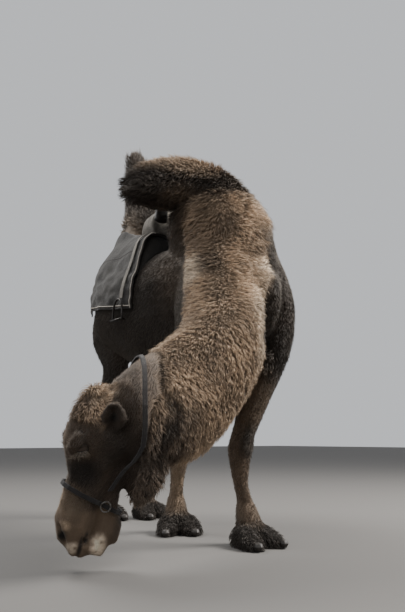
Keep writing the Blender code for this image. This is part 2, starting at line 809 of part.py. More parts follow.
def make_stirrup(side, cloth_tree):
    """The strap that lies on the cloth, and the iron that hangs from it."""
    label = "left" if side > 0 else "right"
    ys = (0.058, 0.086)
    angles = [[-side * math.radians(29.5 + 54 * k / 12) for k in range(13)] for _ in ys]
    low = [[r + 0.002 for r in row] for row in clearing_reach(cloth_tree, ys, angles)]
    high = [[r + 0.004 for r in row] for row in low]
    net(f"stirrup_strap_{label}", ys, angles, low, high)
    foot_of_strap, out = flank_point(cloth_tree, 0.066, -side * math.radians(88))
    x = foot_of_strap.x + side * 0.026
    top = AXIS_HEIGHT + 0.042
    bottom = top - STIRRUP_HEIGHT
    half = STIRRUP_WIDTH / 2 - 0.008
    arch = bmesh.new()
    stations = []
    for k in range(9):
        a = math.pi * k / 8
        rise = bottom + 0.004 + (STIRRUP_HEIGHT - 0.009) * math.sin(a) ** 0.75
        stations.append((x, 0.066 - half * math.cos(a), rise, 0.0045, 0.006))
    loft(arch, stations, up_hint=(side, 0, 0), sides=6, spans=1, caps=(0.2, 0.2))
    iron = new_object(f"stirrup_{label}", arch)
    tread = bmesh.new()
    box_mesh(tread, (x, 0.066, bottom), (0, 0, 1), (0, 1, 0), (0.009, STIRRUP_WIDTH, 0.036))
    plate = new_object("tread", tread)
    mod = iron.modifiers.new("join", "BOOLEAN")
    mod.operation = "UNION"
    mod.solver = "EXACT"
    mod.object = plate
    bpy.context.view_layer.update()
    apply_modifiers(iron)
    bpy.data.objects.remove(plate)


def make_saddle(tree):
    """The cloth in three panels, over the back and down each flank, its seat, pommels and stirrups."""
    middle = [CLOTH_FRONT + CLOTH_STEP * k for k in range(5)]
    cloth = cloth_panel("saddle_cloth_middle", tree, middle, lambda y: (-hem_angle(y), hem_angle(y)), 27)
    rear = [middle[-1] + CUT + (CLOTH_BACK - middle[-1]) * k / 6 for k in range(7)]
    cloth_panel("saddle_cloth_right", tree, rear, lambda y: (COLLAR, hem_angle(y)), 10)
    cloth_panel("saddle_cloth_left", tree, rear, lambda y: (-hem_angle(y), -COLLAR), 10)
    cloth_tree = surface_tree(cloth)
    make_seat(cloth_tree)
    for side in (1, -1):
        bm = bmesh.new()
        loft(
            bm,
            [(side * 0.196, -0.012, 1.725, 0.020, 0.040), (side * 0.192, -0.014, 1.825, 0.018, 0.034)],
            up_hint=(1, 0, 0),
            power=3.0,
            sides=10,
            spans=1,
        )
        new_object("pommel_left" if side > 0 else "pommel_right", bm)
        make_stirrup(side, cloth_tree)


# ---------------------------------------------------------------- halter
BAND_GAP = 0.004
BAND_THICK = 0.009
FINE = 4  # rays to each row of a band


def band(name, tree, steps, width, closed):
    """A strap over the head. Each step is (point inside, way out, way across), in the head's own frame.

    Only every FINE-th step makes a row, which lies over the highest spot of the steps around it.
    """
    place = head_frame()
    turn = place.to_3x3()
    starts, outs, acrosses, reach = [], [], [], []
    for inside, out, across in steps:
        starts.append(place @ Vector(inside))
        outs.append((turn @ Vector(out)).normalized())
        acrosses.append((turn @ Vector(across)).normalized())
        far = 0.0
        for shift in (-width / 2, 0, width / 2):
            start = starts[-1] + acrosses[-1] * shift
            hit = tree.ray_cast(start + outs[-1] * 0.6, -outs[-1])[0]
            far = max(far, (hit - start).length)
        reach.append(far)
    rows, lifts = [], []
    count = len(steps)
    for i in range(0, count, FINE):
        around = [k % count if closed else min(max(k, 0), count - 1) for k in range(i - FINE, i + FINE + 1)]
        far = max(reach[k] for k in around) * 0.5 + max(reach[k] for k in around[FINE - 1:FINE + 2]) * 0.5
        rows.append([(starts[i] + acrosses[i] * shift, outs[i]) for shift in (-width / 2, width / 2)])
        lifts.append([(far + BAND_GAP, far + BAND_GAP + BAND_THICK)] * 2)
    return shell(name, rows, lifts, closed)


NOSE_SLOPE = 0.35  # the noseband slants towards the lips under the jaw
HEADSTALL = [
    # x and z inside the head, and how far the strap has turned from the cheek to the nape
    (0.315, -0.082, 0),
    (0.260, -0.105, 0),
    (0.190, -0.135, 0),
    (0.125, -0.150, 0),
    (0.060, -0.140, 6),
    (0.035, -0.128, 22),
    (0.030, -0.122, 44),
    (0.030, -0.120, 67),
    (0.030, -0.120, 90),
]


def make_halter(tree):
    steps = []
    for k in range(24 * FINE):
        a = 2 * math.pi * k / (24 * FINE)
        outward = (-NOSE_SLOPE * math.cos(a), math.sin(a), math.cos(a))
        steps.append(((0.352, 0, -0.02), outward, (1, 0, NOSE_SLOPE)))
    noseband = band("halter_noseband", tree, steps, 0.016, True)
    nose_tree = surface_tree(noseband)
    steps = []
    for side in (1, -1):
        half = []
        for (x, z, turn), (x2, z2, turn2) in zip(HEADSTALL, HEADSTALL[1:]):
            for k in range(2 * FINE):
                t = k / (2 * FINE)
                b = math.radians(turn + (turn2 - turn) * t)
                inside = (x + (x2 - x) * t, 0, z + (z2 - z) * t)
                half.append((inside, (-math.sin(b), side * math.cos(b), 0), (0.3, 0, 1)))
        x, z, _ = HEADSTALL[-1]
        steps += half + [((x, 0, z), (-1, 0, 0), (0.3, 0, 1))] if side > 0 else half[::-1]
    band("halter_headstall", tree, steps, 0.018, False)
    place = head_frame()
    for side in (1, -1):
        out = (place.to_3x3() @ Vector((0, side, 0))).normalized()
        inside = place @ Vector((0.352 + 0.055 * NOSE_SLOPE, 0, -0.075))
        hit = nose_tree.ray_cast(inside + out * 0.6, -out)[0]
        ring = bmesh.new()
        centre = hit + out * 0.007
        across = place.to_3x3() @ Vector((1, 0, 0))
        up = out.cross(across).normalized()
        loops = []
        for k in range(12):
            a = 2 * math.pi * k / 12
            radial = across * math.cos(a) + up * math.sin(a)
            middle = centre + radial * 0.019
            around = [2 * math.pi * j / 5 for j in range(5)]
            spokes = [radial * math.cos(b) + out * math.sin(b) for b in around]
            loops.append([ring.verts.new(middle + 0.0035 * spoke) for spoke in spokes])
        for k in range(12):
            one, two = loops[k], loops[(k + 1) % 12]
            for j in range(5):
                ring.faces.new((one[j], one[(j + 1) % 5], two[(j + 1) % 5], two[j]))
        new_object("halter_ring_left" if side > 0 else "halter_ring_right", ring)


# ---------------------------------------------------------------- materials
def paint(obj, slot, colour, roughness, metallic=0.0):
    """Gives obj a material of its own, named after its slot."""
    material = bpy.data.materials.new(slot)
    material.use_nodes = True
    shader = material.node_tree.nodes["Principled BSDF"]
    shader.inputs["Base Color"].default_value = (*colour, 1)
    shader.inputs["Roughness"].default_value = roughness
    shader.inputs["Metallic"].default_value = metallic
    obj.data.materials.clear()
    obj.data.materials.append(material)


WOOL_DARK = (0.070, 0.042, 0.025)
WOOL_BROWN = (0.150, 0.098, 0.060)
WOOL_PALE = (0.260, 0.190, 0.130)
LOOKS = [
    # start of the node's name, colour, roughness, metallic
    ("hump_", WOOL_DARK, 0.9, 0.0),
    ("trunk", WOOL_BROWN, 0.9, 0.0),
    ("neck_", WOOL_BROWN, 0.9, 0.0),
    ("tail", WOOL_DARK, 0.9, 0.0),
    ("head", WOOL_BROWN, 0.9, 0.0),
    ("muzzle", WOOL_PALE, 0.8, 0.0),
    ("ear_", WOOL_BROWN, 0.9, 0.0),
    ("eye_", (0.015, 0.009, 0.006), 0.08, 0.0),
    ("leg_", WOOL_PALE, 0.9, 0.0),
    ("foot_", WOOL_DARK, 0.85, 0.0),
    ("nail_", (0.045, 0.036, 0.030), 0.45, 0.0),
    ("saddle_cloth", (0.130, 0.115, 0.100), 0.9, 0.0),
    ("saddle_seat", (0.420, 0.390, 0.340), 0.85, 0.0),
    ("pommel_", (0.020, 0.018, 0.018), 0.7, 0.0),
    ("stirrup_strap", (0.480, 0.450, 0.400), 0.8, 0.0),
    ("stirrup_", (0.060, 0.058, 0.056), 0.45, 1.0),
    ("halter_ring", (0.500, 0.490, 0.470), 0.35, 1.0),
    ("halter_", (0.030, 0.026, 0.024), 0.8, 0.0),
]


def paint_all():
    for obj in bpy.data.objects:
        _, colour, roughness, metallic = next(look for look in LOOKS if obj.name.startswith(look[0]))
        paint(obj, obj.name, colour, roughness, metallic)


def centre_over_origin():
    """Moves the whole camel so that the middle of its bounding box is over the origin, soles at z = 0."""
    bpy.context.view_layer.update()
    points = [obj.matrix_world @ vert.co for obj in bpy.data.objects for vert in obj.data.vertices]
    middle = [(min(p[k] for p in points) + max(p[k] for p in points)) / 2 for k in (0, 1)]
    for obj in bpy.data.objects:
        obj.location -= Vector((*middle, 0))


clear_scene()
camel = whole_body()
skin_tree = surface_tree(camel)
parts = name_pieces(part_body(camel))
for flank in (1, -1):
    make_ear(flank, parts["head"])
    make_eye(flank, parts["head"])
for spot_name in FOOT_SPOTS:
    make_nails(spot_name, parts[f"foot_{spot_name}"])
make_saddle(skin_tree)
make_halter(skin_tree)
paint_all()
centre_over_origin()
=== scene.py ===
# %% [markdown]
# # A Bactrian camel with its head down
#
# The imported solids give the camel's outline, out to the tips of its coat. This lesson dresses them. It draws one
# seamless skin inside the solids, grows the wool from it tuft by tuft, and makes the eyes, nails, saddle and halter.

# %% The frame
import math

import bmesh
import bpy
import numpy as np
from mathutils import Matrix, Vector
from mathutils.bvhtree import BVHTree
from mathutils.kdtree import KDTree


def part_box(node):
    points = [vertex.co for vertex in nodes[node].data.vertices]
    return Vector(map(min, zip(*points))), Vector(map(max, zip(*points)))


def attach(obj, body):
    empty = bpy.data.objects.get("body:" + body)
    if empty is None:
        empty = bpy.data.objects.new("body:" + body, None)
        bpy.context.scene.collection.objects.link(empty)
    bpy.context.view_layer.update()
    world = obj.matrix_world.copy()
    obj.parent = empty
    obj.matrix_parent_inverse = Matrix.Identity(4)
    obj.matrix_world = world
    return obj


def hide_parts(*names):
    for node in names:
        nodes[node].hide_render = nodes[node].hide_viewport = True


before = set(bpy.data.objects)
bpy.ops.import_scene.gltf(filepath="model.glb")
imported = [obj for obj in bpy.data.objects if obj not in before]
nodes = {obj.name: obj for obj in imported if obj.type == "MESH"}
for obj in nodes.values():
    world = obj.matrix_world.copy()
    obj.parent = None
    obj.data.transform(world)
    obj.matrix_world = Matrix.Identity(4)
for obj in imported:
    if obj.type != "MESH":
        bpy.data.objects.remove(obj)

for stale in ("Cube", "Light", "Camera"):  # what Blender's own empty scene brings
    if stale in bpy.data.objects:
        bpy.data.objects.remove(bpy.data.objects[stale])
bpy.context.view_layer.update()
draw = np.random.default_rng(11)

# %% [markdown]
# ## Where things are
#
# A camel's parts are easiest to describe from its own spine, so the numbers below count from the point on the floor
# under the front of the back, between the shoulders. The saddle seat sits 9 cm behind it, which ties the two frames.
# The head has a frame of its own: +X from the poll to the lips, +Y its left side and +Z its forehead.

# %% The spine's frame and the head's frame
seat_low, seat_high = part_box("saddle_seat")
SPINE = np.array([(seat_low.x + seat_high.x) / 2, (seat_low.y + seat_high.y) / 2 - 0.09, 0.0])
FACE_SCALE = 0.55 / 0.565  # this head's length over that of the head on which the strokes were worked out
HEAD_AT = Vector((-0.904, -0.725, 0.619)) + Vector(SPINE)
HEAD_AIM = Vector((-0.088, 0.191, -0.975)).normalized()
head_left = Vector((-0.956, 0.294, 0.0)).cross(HEAD_AIM).normalized()
HEAD = Matrix((HEAD_AIM, head_left, HEAD_AIM.cross(head_left))).transposed().to_4x4()
HEAD = Matrix.Translation(HEAD_AT) @ HEAD
HEAD_TURN = np.array(HEAD.to_3x3())


def in_head(points):
    """World points as seen from the head's own frame."""
    return (points - np.array(HEAD_AT)) @ HEAD_TURN


def from_head(local):
    return HEAD @ Vector(local)


print("the spine starts at", SPINE.round(4))

# %% [markdown]
# ## Camera and light
#
# A low camera in front of the camel looks up a little, as a person crouching near its head would see it.

# %% Camera
EYE_POINT = Vector((-1.994, -2.801, 0.48)) + Vector(SPINE)
HEADING = math.radians(37)
TILT_UP = math.radians(12.5)
FOCAL = 600 / 612 * 36  # the lens, for a sensor whose long side is 36 mm

lens = bpy.data.cameras.new("camera")
lens.lens = FOCAL
lens.sensor_width = 36
lens.clip_start = 0.05
camera = bpy.data.objects.new("camera", lens)
camera.location = EYE_POINT
camera.rotation_euler = (math.pi / 2 + TILT_UP, 0, -HEADING)
bpy.context.scene.collection.objects.link(camera)
bpy.context.scene.camera = camera


LIT_SPOT = Vector((0.1, 0, 1.1))


def add_light(name, spot, size, power, colour):
    """A soft square lamp at spot, which looks at the camel."""
    lamp = bpy.data.lights.new(name, "AREA")
    lamp.size = size
    lamp.energy = power
    lamp.color = colour
    obj = bpy.data.objects.new(name, lamp)
    obj.location = spot
    obj.rotation_euler = (LIT_SPOT - Vector(spot)).to_track_quat("-Z", "Y").to_euler()
    bpy.context.scene.collection.objects.link(obj)


add_light("key", (3.6, -2.6, 4.6), 2.2, 900, (1.0, 0.97, 0.93))
add_light("fill", (-4.5, -2.5, 2.6), 3.5, 60, (0.93, 0.96, 1.0))
add_light("rim", (-1.2, 2.6, 5.2), 2.4, 380, (1.0, 0.98, 0.95))
world = bpy.data.worlds.new("studio")
world.use_nodes = True
world.node_tree.nodes["Background"].inputs["Color"].default_value = (0.80, 0.82, 0.85, 1)
world.node_tree.nodes["Background"].inputs["Strength"].default_value = 0.80
bpy.context.scene.world = world
print("camera at", [round(c, 3) for c in EYE_POINT], "lens", round(FOCAL, 2))

# %% [markdown]
# ## Shader maths as Python
#
# A material is a net of small nodes. Wrapping a socket in a class that knows how to add and multiply lets the net be
# written as a sum, and everything that isn't a sum comes from one method, node().


# %% The Recipe and Value classes
class Value:
    """One output socket, which behaves like a number."""

    def __init__(self, recipe, socket):
        self.recipe = recipe
        self.socket = socket

    def __add__(self, other):
        return self.recipe.node("ShaderNodeMath", {"operation": "ADD"}, {0: self, 1: other})

    def __mul__(self, other):
        return self.recipe.node("ShaderNodeMath", {"operation": "MULTIPLY"}, {0: self, 1: other})

    __radd__ = __add__
    __rmul__ = __mul__


class Recipe:
    """A material under construction, with a Principled BSDF at its end."""

    def __init__(self, name, **constants):
        self.material = bpy.data.materials.new(name)
        self.material.use_nodes = True
        self.tree = self.material.node_tree
        self.shader = self.tree.nodes["Principled BSDF"]
        for socket, value in constants.items():
            self.shader.inputs[socket.replace("_", " ")].default_value = value

    def node(self, kind, settings=None, sockets=None, out=0):
        made = self.tree.nodes.new(kind)
        for name, value in (settings or {}).items():
            setattr(made, name, value)
        for key, value in (sockets or {}).items():
            self._feed(made.inputs[key], value)
        return Value(self, made.outputs[out])

    def _feed(self, socket, value):
        if isinstance(value, Value):
            self.tree.links.new(value.socket, socket)
        else:
            socket.default_value = value

    def set(self, name, value):
        self._feed(self.shader.inputs[name], value)

    def coat_colour(self, tone):
        """The colour that the points carry, made lighter and darker by tone."""
        colour = self.node("ShaderNodeAttribute", {"attribute_name": "coat"}, out="Color")
        grey = self.node("ShaderNodeCombineColor", {}, {0: tone, 1: tone, 2: tone})
        self.set("Base Color", self.mix(1.0, colour, grey, "MULTIPLY"))

    def place(self):
        return self.node("ShaderNodeTexCoord", out="Object")

    def noise(self, where, scale, detail=3.0, roughness=0.55, distortion=0.0):
        sockets = {"Vector": where, "Scale": scale, "Detail": detail}
        sockets.update({"Roughness": roughness, "Distortion": distortion})
        return self.node("ShaderNodeTexNoise", {}, sockets)

    def stretched(self, where, factors):
        return self.node("ShaderNodeVectorMath", {"operation": "MULTIPLY"}, {0: where, 1: factors})

    def between(self, value, low, high):
        settings = {"interpolation_type": "SMOOTHSTEP"}
        return self.node("ShaderNodeMapRange", settings, {"Value": value, 1: low, 2: high})

    def mix(self, factor, a, b, blend="MIX"):
        settings = {"data_type": "RGBA", "blend_type": blend}
        return self.node("ShaderNodeMix", settings, {"Factor": factor, 6: a, 7: b}, out=2)

    def bump(self, height, distance, strength=1.0, normal=None):
        sockets = {"Height": height, "Distance": distance, "Strength": strength}
        if normal is not None:
            sockets["Normal"] = normal
        return self.node("ShaderNodeBump", {}, sockets)


print("recipes ready")

# %% [markdown]
# ## One skin
#
# The flesh is cut into named solids. A voxel remesh fuses them again, because the cuts are thinner than a voxel. The
# result is far too fine for the trunk, so Decimate thins it everywhere but on the head, which keeps its detail.

# %% Fuse the flesh
FLESH_KINDS = ("trunk", "hump", "neck", "head", "muzzle", "ear", "tail", "leg", "foot")
FLESH = sorted(name for name in nodes if name.split("_")[0] in FLESH_KINDS)
VOXEL = 0.005
BODY_KEEP = 0.34  # the share of the triangles that Decimate leaves


def mesh_arrays(mesh):
    """Vertex positions, and triangles as rows of three vertex numbers."""
    mesh.calc_loop_triangles()
    points = np.empty(len(mesh.vertices) * 3, np.float32)
    mesh.vertices.foreach_get("co", points)
    triangles = np.empty(len(mesh.loop_triangles) * 3, np.int32)
    mesh.loop_triangles.foreach_get("vertices", triangles)
    return points.reshape(-1, 3).astype(float), triangles.reshape(-1, 3)


def mesh_from(name, points, faces):
    """A mesh from rows of points and rows of equally long faces."""
    mesh = bpy.data.meshes.new(name)
    size = faces.shape[1]
    mesh.vertices.add(len(points))
    mesh.vertices.foreach_set("co", np.ascontiguousarray(points, np.float32).ravel())
    mesh.loops.add(faces.size)
    mesh.loops.foreach_set("vertex_index", np.ascontiguousarray(faces, np.int32).ravel())
    mesh.polygons.add(len(faces))
    mesh.polygons.foreach_set("loop_start", np.arange(0, faces.size, size, dtype=np.int32))
    mesh.update(calc_edges=True)
    return mesh


def link(name, mesh, material=None):
    obj = bpy.data.objects.new(name, mesh)
    bpy.context.scene.collection.objects.link(obj)
    if material is not None:
        mesh.materials.append(material)
    mesh.shade_smooth()
    return obj


def baked(obj):
    """Swaps the object's mesh for what its modifiers make of it."""
    bpy.context.view_layer.update()
    graph = bpy.context.evaluated_depsgraph_get()
    made = bpy.data.meshes.new_from_object(obj.evaluated_get(graph))
    obj.modifiers.clear()
    obj.data = made
    return made


def modify(obj, kind, **settings):
    """Adds a modifier with these settings."""
    made = obj.modifiers.new(kind.lower(), kind)
    for name, value in settings.items():
        setattr(made, name, value)


def joined(names):
    """All these nodes' points and triangles in one pair of arrays, and which node each triangle is from."""
    points, triangles, owners, start = [], [], [], 0
    for number, name in enumerate(names):
        some, faces = mesh_arrays(nodes[name].data)
        points.append(some)
        triangles.append(faces + start)
        owners += [number] * len(faces)
        start += len(some)
    return np.concatenate(points), np.concatenate(triangles), np.array(owners)


flesh_points, flesh_triangles, flesh_owner = joined(FLESH)
flesh_tree = BVHTree.FromPolygons(flesh_points.tolist(), flesh_triangles.tolist())
skin = link("skin", mesh_from("skin", flesh_points, flesh_triangles))
modify(skin, "REMESH", mode="VOXEL", voxel_size=VOXEL)
baked(skin)
print("fused", len(skin.data.vertices), "points")

# %% Smooth the facets away, gently on the head
points, _ = mesh_arrays(skin.data)
local = in_head(points) / FACE_SCALE
off_head = np.clip((np.linalg.norm((local - [0.27, 0, -0.02]) / [0.36, 0.22, 0.22], axis=1) - 1.0) / 0.35, 0, 1)


def weigh(obj, name, weights):
    """A vertex group from an array of weights, in tenths."""
    group = obj.vertex_groups.new(name=name)
    tenths = np.round(weights * 10).astype(int)
    for tenth in range(1, 11):
        group.add(np.flatnonzero(tenths == tenth).tolist(), tenth / 10, "REPLACE")


weigh(skin, "body", off_head)
for group, repeat in (("", 3), ("body", 24)):
    modify(skin, "SMOOTH", factor=0.5, iterations=repeat, vertex_group=group)
modify(skin, "DECIMATE", ratio=BODY_KEEP, vertex_group="body", vertex_group_factor=5.0)
baked(skin)
print("skin has", len(skin.data.vertices), "points,", len(skin.data.polygons), "faces")

# %% [markdown]
# ## What grows where
#
# Every part of the camel has its own coat. Each point of the skin finds the solid it lies in, takes that part's
# figures, and shares them with its neighbours, so that one coat fades into the next. The neck isn't a node to go by
# at its root, so a curve from the withers to the poll says where it runs.

# %% Figures for each part of the coat
COAT = {
    # depth of the coat, length and width of a tuft, lift in degrees, tufts per square metre, curl
    "trunk": (0.008, 0.026, 0.0042, 13, 24000, 0.15),
    "hump": (0.024, 0.050, 0.0046, 34, 22000, 0.25),
    "neck": (0.017, 0.030, 0.0042, 26, 34000, 0.55),
    "head": (0.0045, 0.016, 0.0032, 20, 60000, 0.25),
    "muzzle": (0.0016, 0.0065, 0.0020, 14, 70000, 0.10),
    "ear": (0.0015, 0.012, 0.0026, 20, 70000, 0.20),
    "tail": (0.008, 0.075, 0.0050, 12, 24000, 0.25),
    "leg": (0.005, 0.016, 0.0034, 16, 32000, 0.15),
    "foot": (0.005, 0.024, 0.0042, 20, 28000, 0.30),
}
KIND = {kind: number for number, kind in enumerate(COAT)}
NECK_CURVE = [
    # x, y, z and half the neck's width, from the front of the hump to the poll
    (-0.02, -0.33, 1.80, 0.24),
    (-0.04, -0.35, 1.62, 0.25),
    (-0.06, -0.36, 1.44, 0.24),
    (-0.15, -0.49, 1.16, 0.24),
    (-0.265, -0.625, 0.880, 0.24),
    (-0.470, -0.665, 0.665, 0.24),
    (-0.69, -0.735, 0.585, 0.20),
    (-0.82, -0.775, 0.555, 0.15),
]


def step_up(value, low, high):
    """0 below low, 1 above high, and a soft step between."""
    t = np.clip((value - low) / (high - low), 0, 1)
    return t * t * (3 - 2 * t)


def unit(vectors):
    return vectors / np.maximum(np.linalg.norm(vectors, axis=-1, keepdims=True), 1e-9)


def near(points, centre, radii):
    """1 at the centre, fading to 0 at the ellipsoid with these radii."""
    far = np.linalg.norm((points - centre) / radii, axis=1)
    return 1 - step_up(far, 0.35, 1.0)


def along_curve(points, curve):
    """For each point: how far along the curve it is, its distance over the width, the way there, the nearest spot."""
    knots = np.array(curve)[:, :3]
    widths = np.array(curve)[:, 3]
    lengths = np.linalg.norm(np.diff(knots, axis=0), axis=1)
    passed = np.concatenate([[0], np.cumsum(lengths)])
    best = np.full(len(points), 1e9)
    share = np.zeros(len(points))
    heading = np.zeros((len(points), 3))
    nearest = np.zeros((len(points), 3))
    for k in range(len(knots) - 1):
        start, run = knots[k], knots[k + 1] - knots[k]
        t = np.clip((points - start) @ run / (run @ run), 0, 1)
        at = start + t[:, None] * run
        far = np.linalg.norm(points - at, axis=1) / (widths[k] + t * (widths[k + 1] - widths[k]))
        closer = far < best
        best[closer] = far[closer]
        share[closer] = passed[k] + t[closer] * lengths[k]
        heading[closer] = run / np.linalg.norm(run)
        nearest[closer] = at[closer]
    return share, best, heading, nearest


def waves(points, length, seed, count=7):
    """A soft, cloudy number from -1 to 1 that changes over about this length."""
    turns = np.random.default_rng(seed)
    ways = unit(turns.normal(size=(count, 3))) * turns.uniform(0.6, 1.5, (count, 1))
    phases = turns.uniform(0, 2 * math.pi, count)
    return np.sin(points @ ways.T * (2 * math.pi / length) + phases).mean(axis=1) * (count**0.5) / 1.6


def mesh_edges(mesh):
    pairs = np.empty(len(mesh.edges) * 2, np.int32)
    mesh.edges.foreach_get("vertices", pairs)
    return pairs.reshape(-1, 2)


def spread(values, edges, rounds):
    """Averages each point's values with its neighbours', this many times."""
    count = len(values)
    values = values.reshape(count, -1).astype(float)
    degree = np.bincount(edges.ravel(), minlength=count)[:, None] + 1.0
    for _ in range(rounds):
        sums = values.copy()
        for column in range(values.shape[1]):
            sums[:, column] += np.bincount(edges[:, 0], values[edges[:, 1], column], minlength=count)
            sums[:, column] += np.bincount(edges[:, 1], values[edges[:, 0], column], minlength=count)
        values = sums / degree
    return values


def normals_of(mesh):
    out = np.empty(len(mesh.vertices) * 3, np.float32)
    mesh.vertex_normals.foreach_get("vector", out)
    return out.reshape(-1, 3).astype(float)


points, _ = mesh_arrays(skin.data)
edges = mesh_edges(skin.data)
kind_of = np.array([KIND[name.split("_")[0]] for name in FLESH])
found = [flesh_tree.find_nearest(p)[2] for p in points.tolist()]
share_of_kind = np.eye(len(KIND))[kind_of[flesh_owner[found]]]
here = points - SPINE
neck_along, neck_far, neck_way, neck_axis = along_curve(here, NECK_CURVE)
off_axis = here - neck_axis
neck_turn = np.degrees(np.arctan2(off_axis[:, 0], -off_axis[:, 1]))  # round the neck, from its front to its left
high_up = step_up(here[:, 2], 0.86, 0.98)
on_front = (1 - step_up(neck_turn, 18, 27)) * step_up(neck_turn, -98, -84)
is_neck = (1 - step_up(neck_far, 1.25, 1.5)) * step_up(neck_along, 0.01, 0.14) * (1 - high_up * (1 - on_front))


def make_woolly(shares, kind, how_much):
    """Gives part of one kind's share to the neck's wool."""
    moved = shares[:, KIND[kind]] * how_much
    shares[:, KIND[kind]] -= moved
    shares[:, KIND["neck"]] += moved


for kind in ("trunk", "hump"):
    make_woolly(share_of_kind, kind, is_neck)
on_head = share_of_kind[:, [KIND[k] for k in ("head", "muzzle", "ear")]].sum(axis=1)
soft = spread(share_of_kind, edges, 14)
sharp = spread(share_of_kind, edges, 4)
share_of_kind = np.where(on_head[:, None] > 0.5, sharp, soft)
print("shares", dict(zip(COAT, share_of_kind.mean(axis=0).round(3))))

# %% [markdown]
# ## Carving the face
#
# The solids give the head's masses. What makes it a camel's face is finer: the slit of the nostril, the mouth line,
# the split lip, the hollow before the eye, the bony cheek, the folds round the lids and the cup of the ear. Each is a
# stroke: a line in the head's frame, with a radius and a depth, that pushes the skin in or out along its normals.

# %% Strokes on both sides of the head
STROKES = [
    # line (x, y, z), radius, how far in (or, when negative, out), on both sides
    ([(0.482, 0.044, 0.082), (0.505, 0.052, 0.070), (0.530, 0.052, 0.060), (0.548, 0.047, 0.050)], 0.023, 0.024),
    ([(0.455, 0.052, 0.086), (0.470, 0.062, 0.060), (0.505, 0.064, 0.032), (0.535, 0.060, 0.024)], 0.012, -0.005),
    ([(0.470, 0.026, 0.092), (0.510, 0.034, 0.074), (0.545, 0.036, 0.040)], 0.010, -0.004),
    ([(0.590, 0.000, -0.005), (0.575, 0.030, -0.010), (0.545, 0.048, -0.012), (0.516, 0.054, -0.024)], 0.012, 0.015),
    ([(0.516, 0.054, -0.024), (0.490, 0.056, -0.042), (0.450, 0.060, -0.056), (0.415, 0.062, -0.060)], 0.011, 0.010),
    ([(0.560, 0.044, -0.060), (0.535, 0.054, -0.075), (0.505, 0.056, -0.085)], 0.020, -0.005),
    ([(0.575, 0.036, 0.012), (0.550, 0.050, 0.014)], 0.020, -0.005),
    ([(0.385, 0.064, -0.050), (0.380, 0.060, -0.078)], 0.012, 0.004),
    ([(0.590, 0.0, 0.02), (0.590, 0.0, -0.04)], 0.009, 0.010),
    ([(0.215, 0.085, 0.030), (0.280, 0.075, 0.010), (0.330, 0.068, 0.000)], 0.026, 0.006),
    ([(0.260, 0.065, -0.045), (0.330, 0.060, -0.050)], 0.022, 0.005),
    ([(0.120, 0.100, -0.030), (0.200, 0.090, -0.040), (0.250, 0.080, -0.030)], 0.024, -0.006),
    ([(0.250, 0.042, 0.070), (0.330, 0.036, 0.070), (0.420, 0.036, 0.078)], 0.018, -0.004),
    ([(0.125, 0.100, 0.080), (0.150, 0.098, 0.100), (0.190, 0.090, 0.100), (0.222, 0.078, 0.080)], 0.015, -0.007),
    ([(0.140, 0.108, 0.034), (0.160, 0.106, 0.022), (0.192, 0.100, 0.022), (0.214, 0.090, 0.036)], 0.008, 0.003),
    ([(0.100, 0.095, 0.055), (0.125, 0.102, 0.055)], 0.012, 0.004),
    ([(0.078, 0.118, -0.027), (0.050, 0.145, -0.020), (0.018, 0.155, -0.013)], 0.032, 0.024),
    ([(0.095, 0.110, 0.005), (0.060, 0.138, 0.022)], 0.012, -0.004),
]


def stroke_depth(local, line, radius):
    """How strongly a stroke takes hold of each point, from 1 on its line to 0 at its radius."""
    best = np.full(len(local), 1e9)
    for a, b in zip(line[:-1], line[1:]):
        a, run = np.array(a), np.array(b) - np.array(a)
        t = np.clip((local - a) @ run / (run @ run), 0, 1)
        best = np.minimum(best, np.linalg.norm(local - a - t[:, None] * run, axis=1))
    return 1 - step_up(best / radius, 0.15, 1.0)


normals = normals_of(skin.data)
local = in_head(points) / FACE_SCALE
carved = np.zeros(len(points))
face = np.flatnonzero(np.linalg.norm((local - [0.3, 0, 0]) / [0.4, 0.2, 0.25], axis=1) < 1.2)
for line, radius, depth in STROKES:
    for side in (1, -1):
        mirrored = [(x, side * y, z) for x, y, z in line]
        carved[face] += depth * stroke_depth(local[face], mirrored, radius)
beard = step_up(-local[:, 2], 0.150, 0.185) * (local[:, 0] > -0.05) * (local[:, 0] < 0.45)
beard = np.maximum(beard, 0.75 * step_up(local[:, 2], -0.03, 0.04) * (1 - step_up(local[:, 0], 0.04, 0.12)))
make_woolly(share_of_kind, "head", beard)
print("the strokes move", int((np.abs(carved) > 1e-4).sum()), "points")

# %% Sink the skin by the depth of its coat
FOLD_SPACING = 0.030  # from one fold of the neck's wool to the next
depth, length, width, lift, density, curl = (share_of_kind @ np.array(list(COAT.values()))).T
fold_line = neck_along - 0.050 * np.abs((neck_turn + 45) / 60) ** 1.3 + 0.022 * waves(here, 0.28, 3)


def rippled(here, fold_line):
    """The neck's wool in folds higher up and in knots lower down, from -1 in a crease to 1 on a crest."""
    folds = 2 * np.abs(np.sin(math.pi * fold_line / FOLD_SPACING)) ** 0.9 - 1
    curly = step_up(here[:, 0] - here[:, 2] * 0.2, -0.42, -0.30)
    mixed = folds * (1 - 0.45 * curly) + waves(here, 0.055, 6) * 0.8 * curly
    return np.clip(mixed * (0.80 + 0.50 * waves(here, 0.16, 4)), -1, 1)


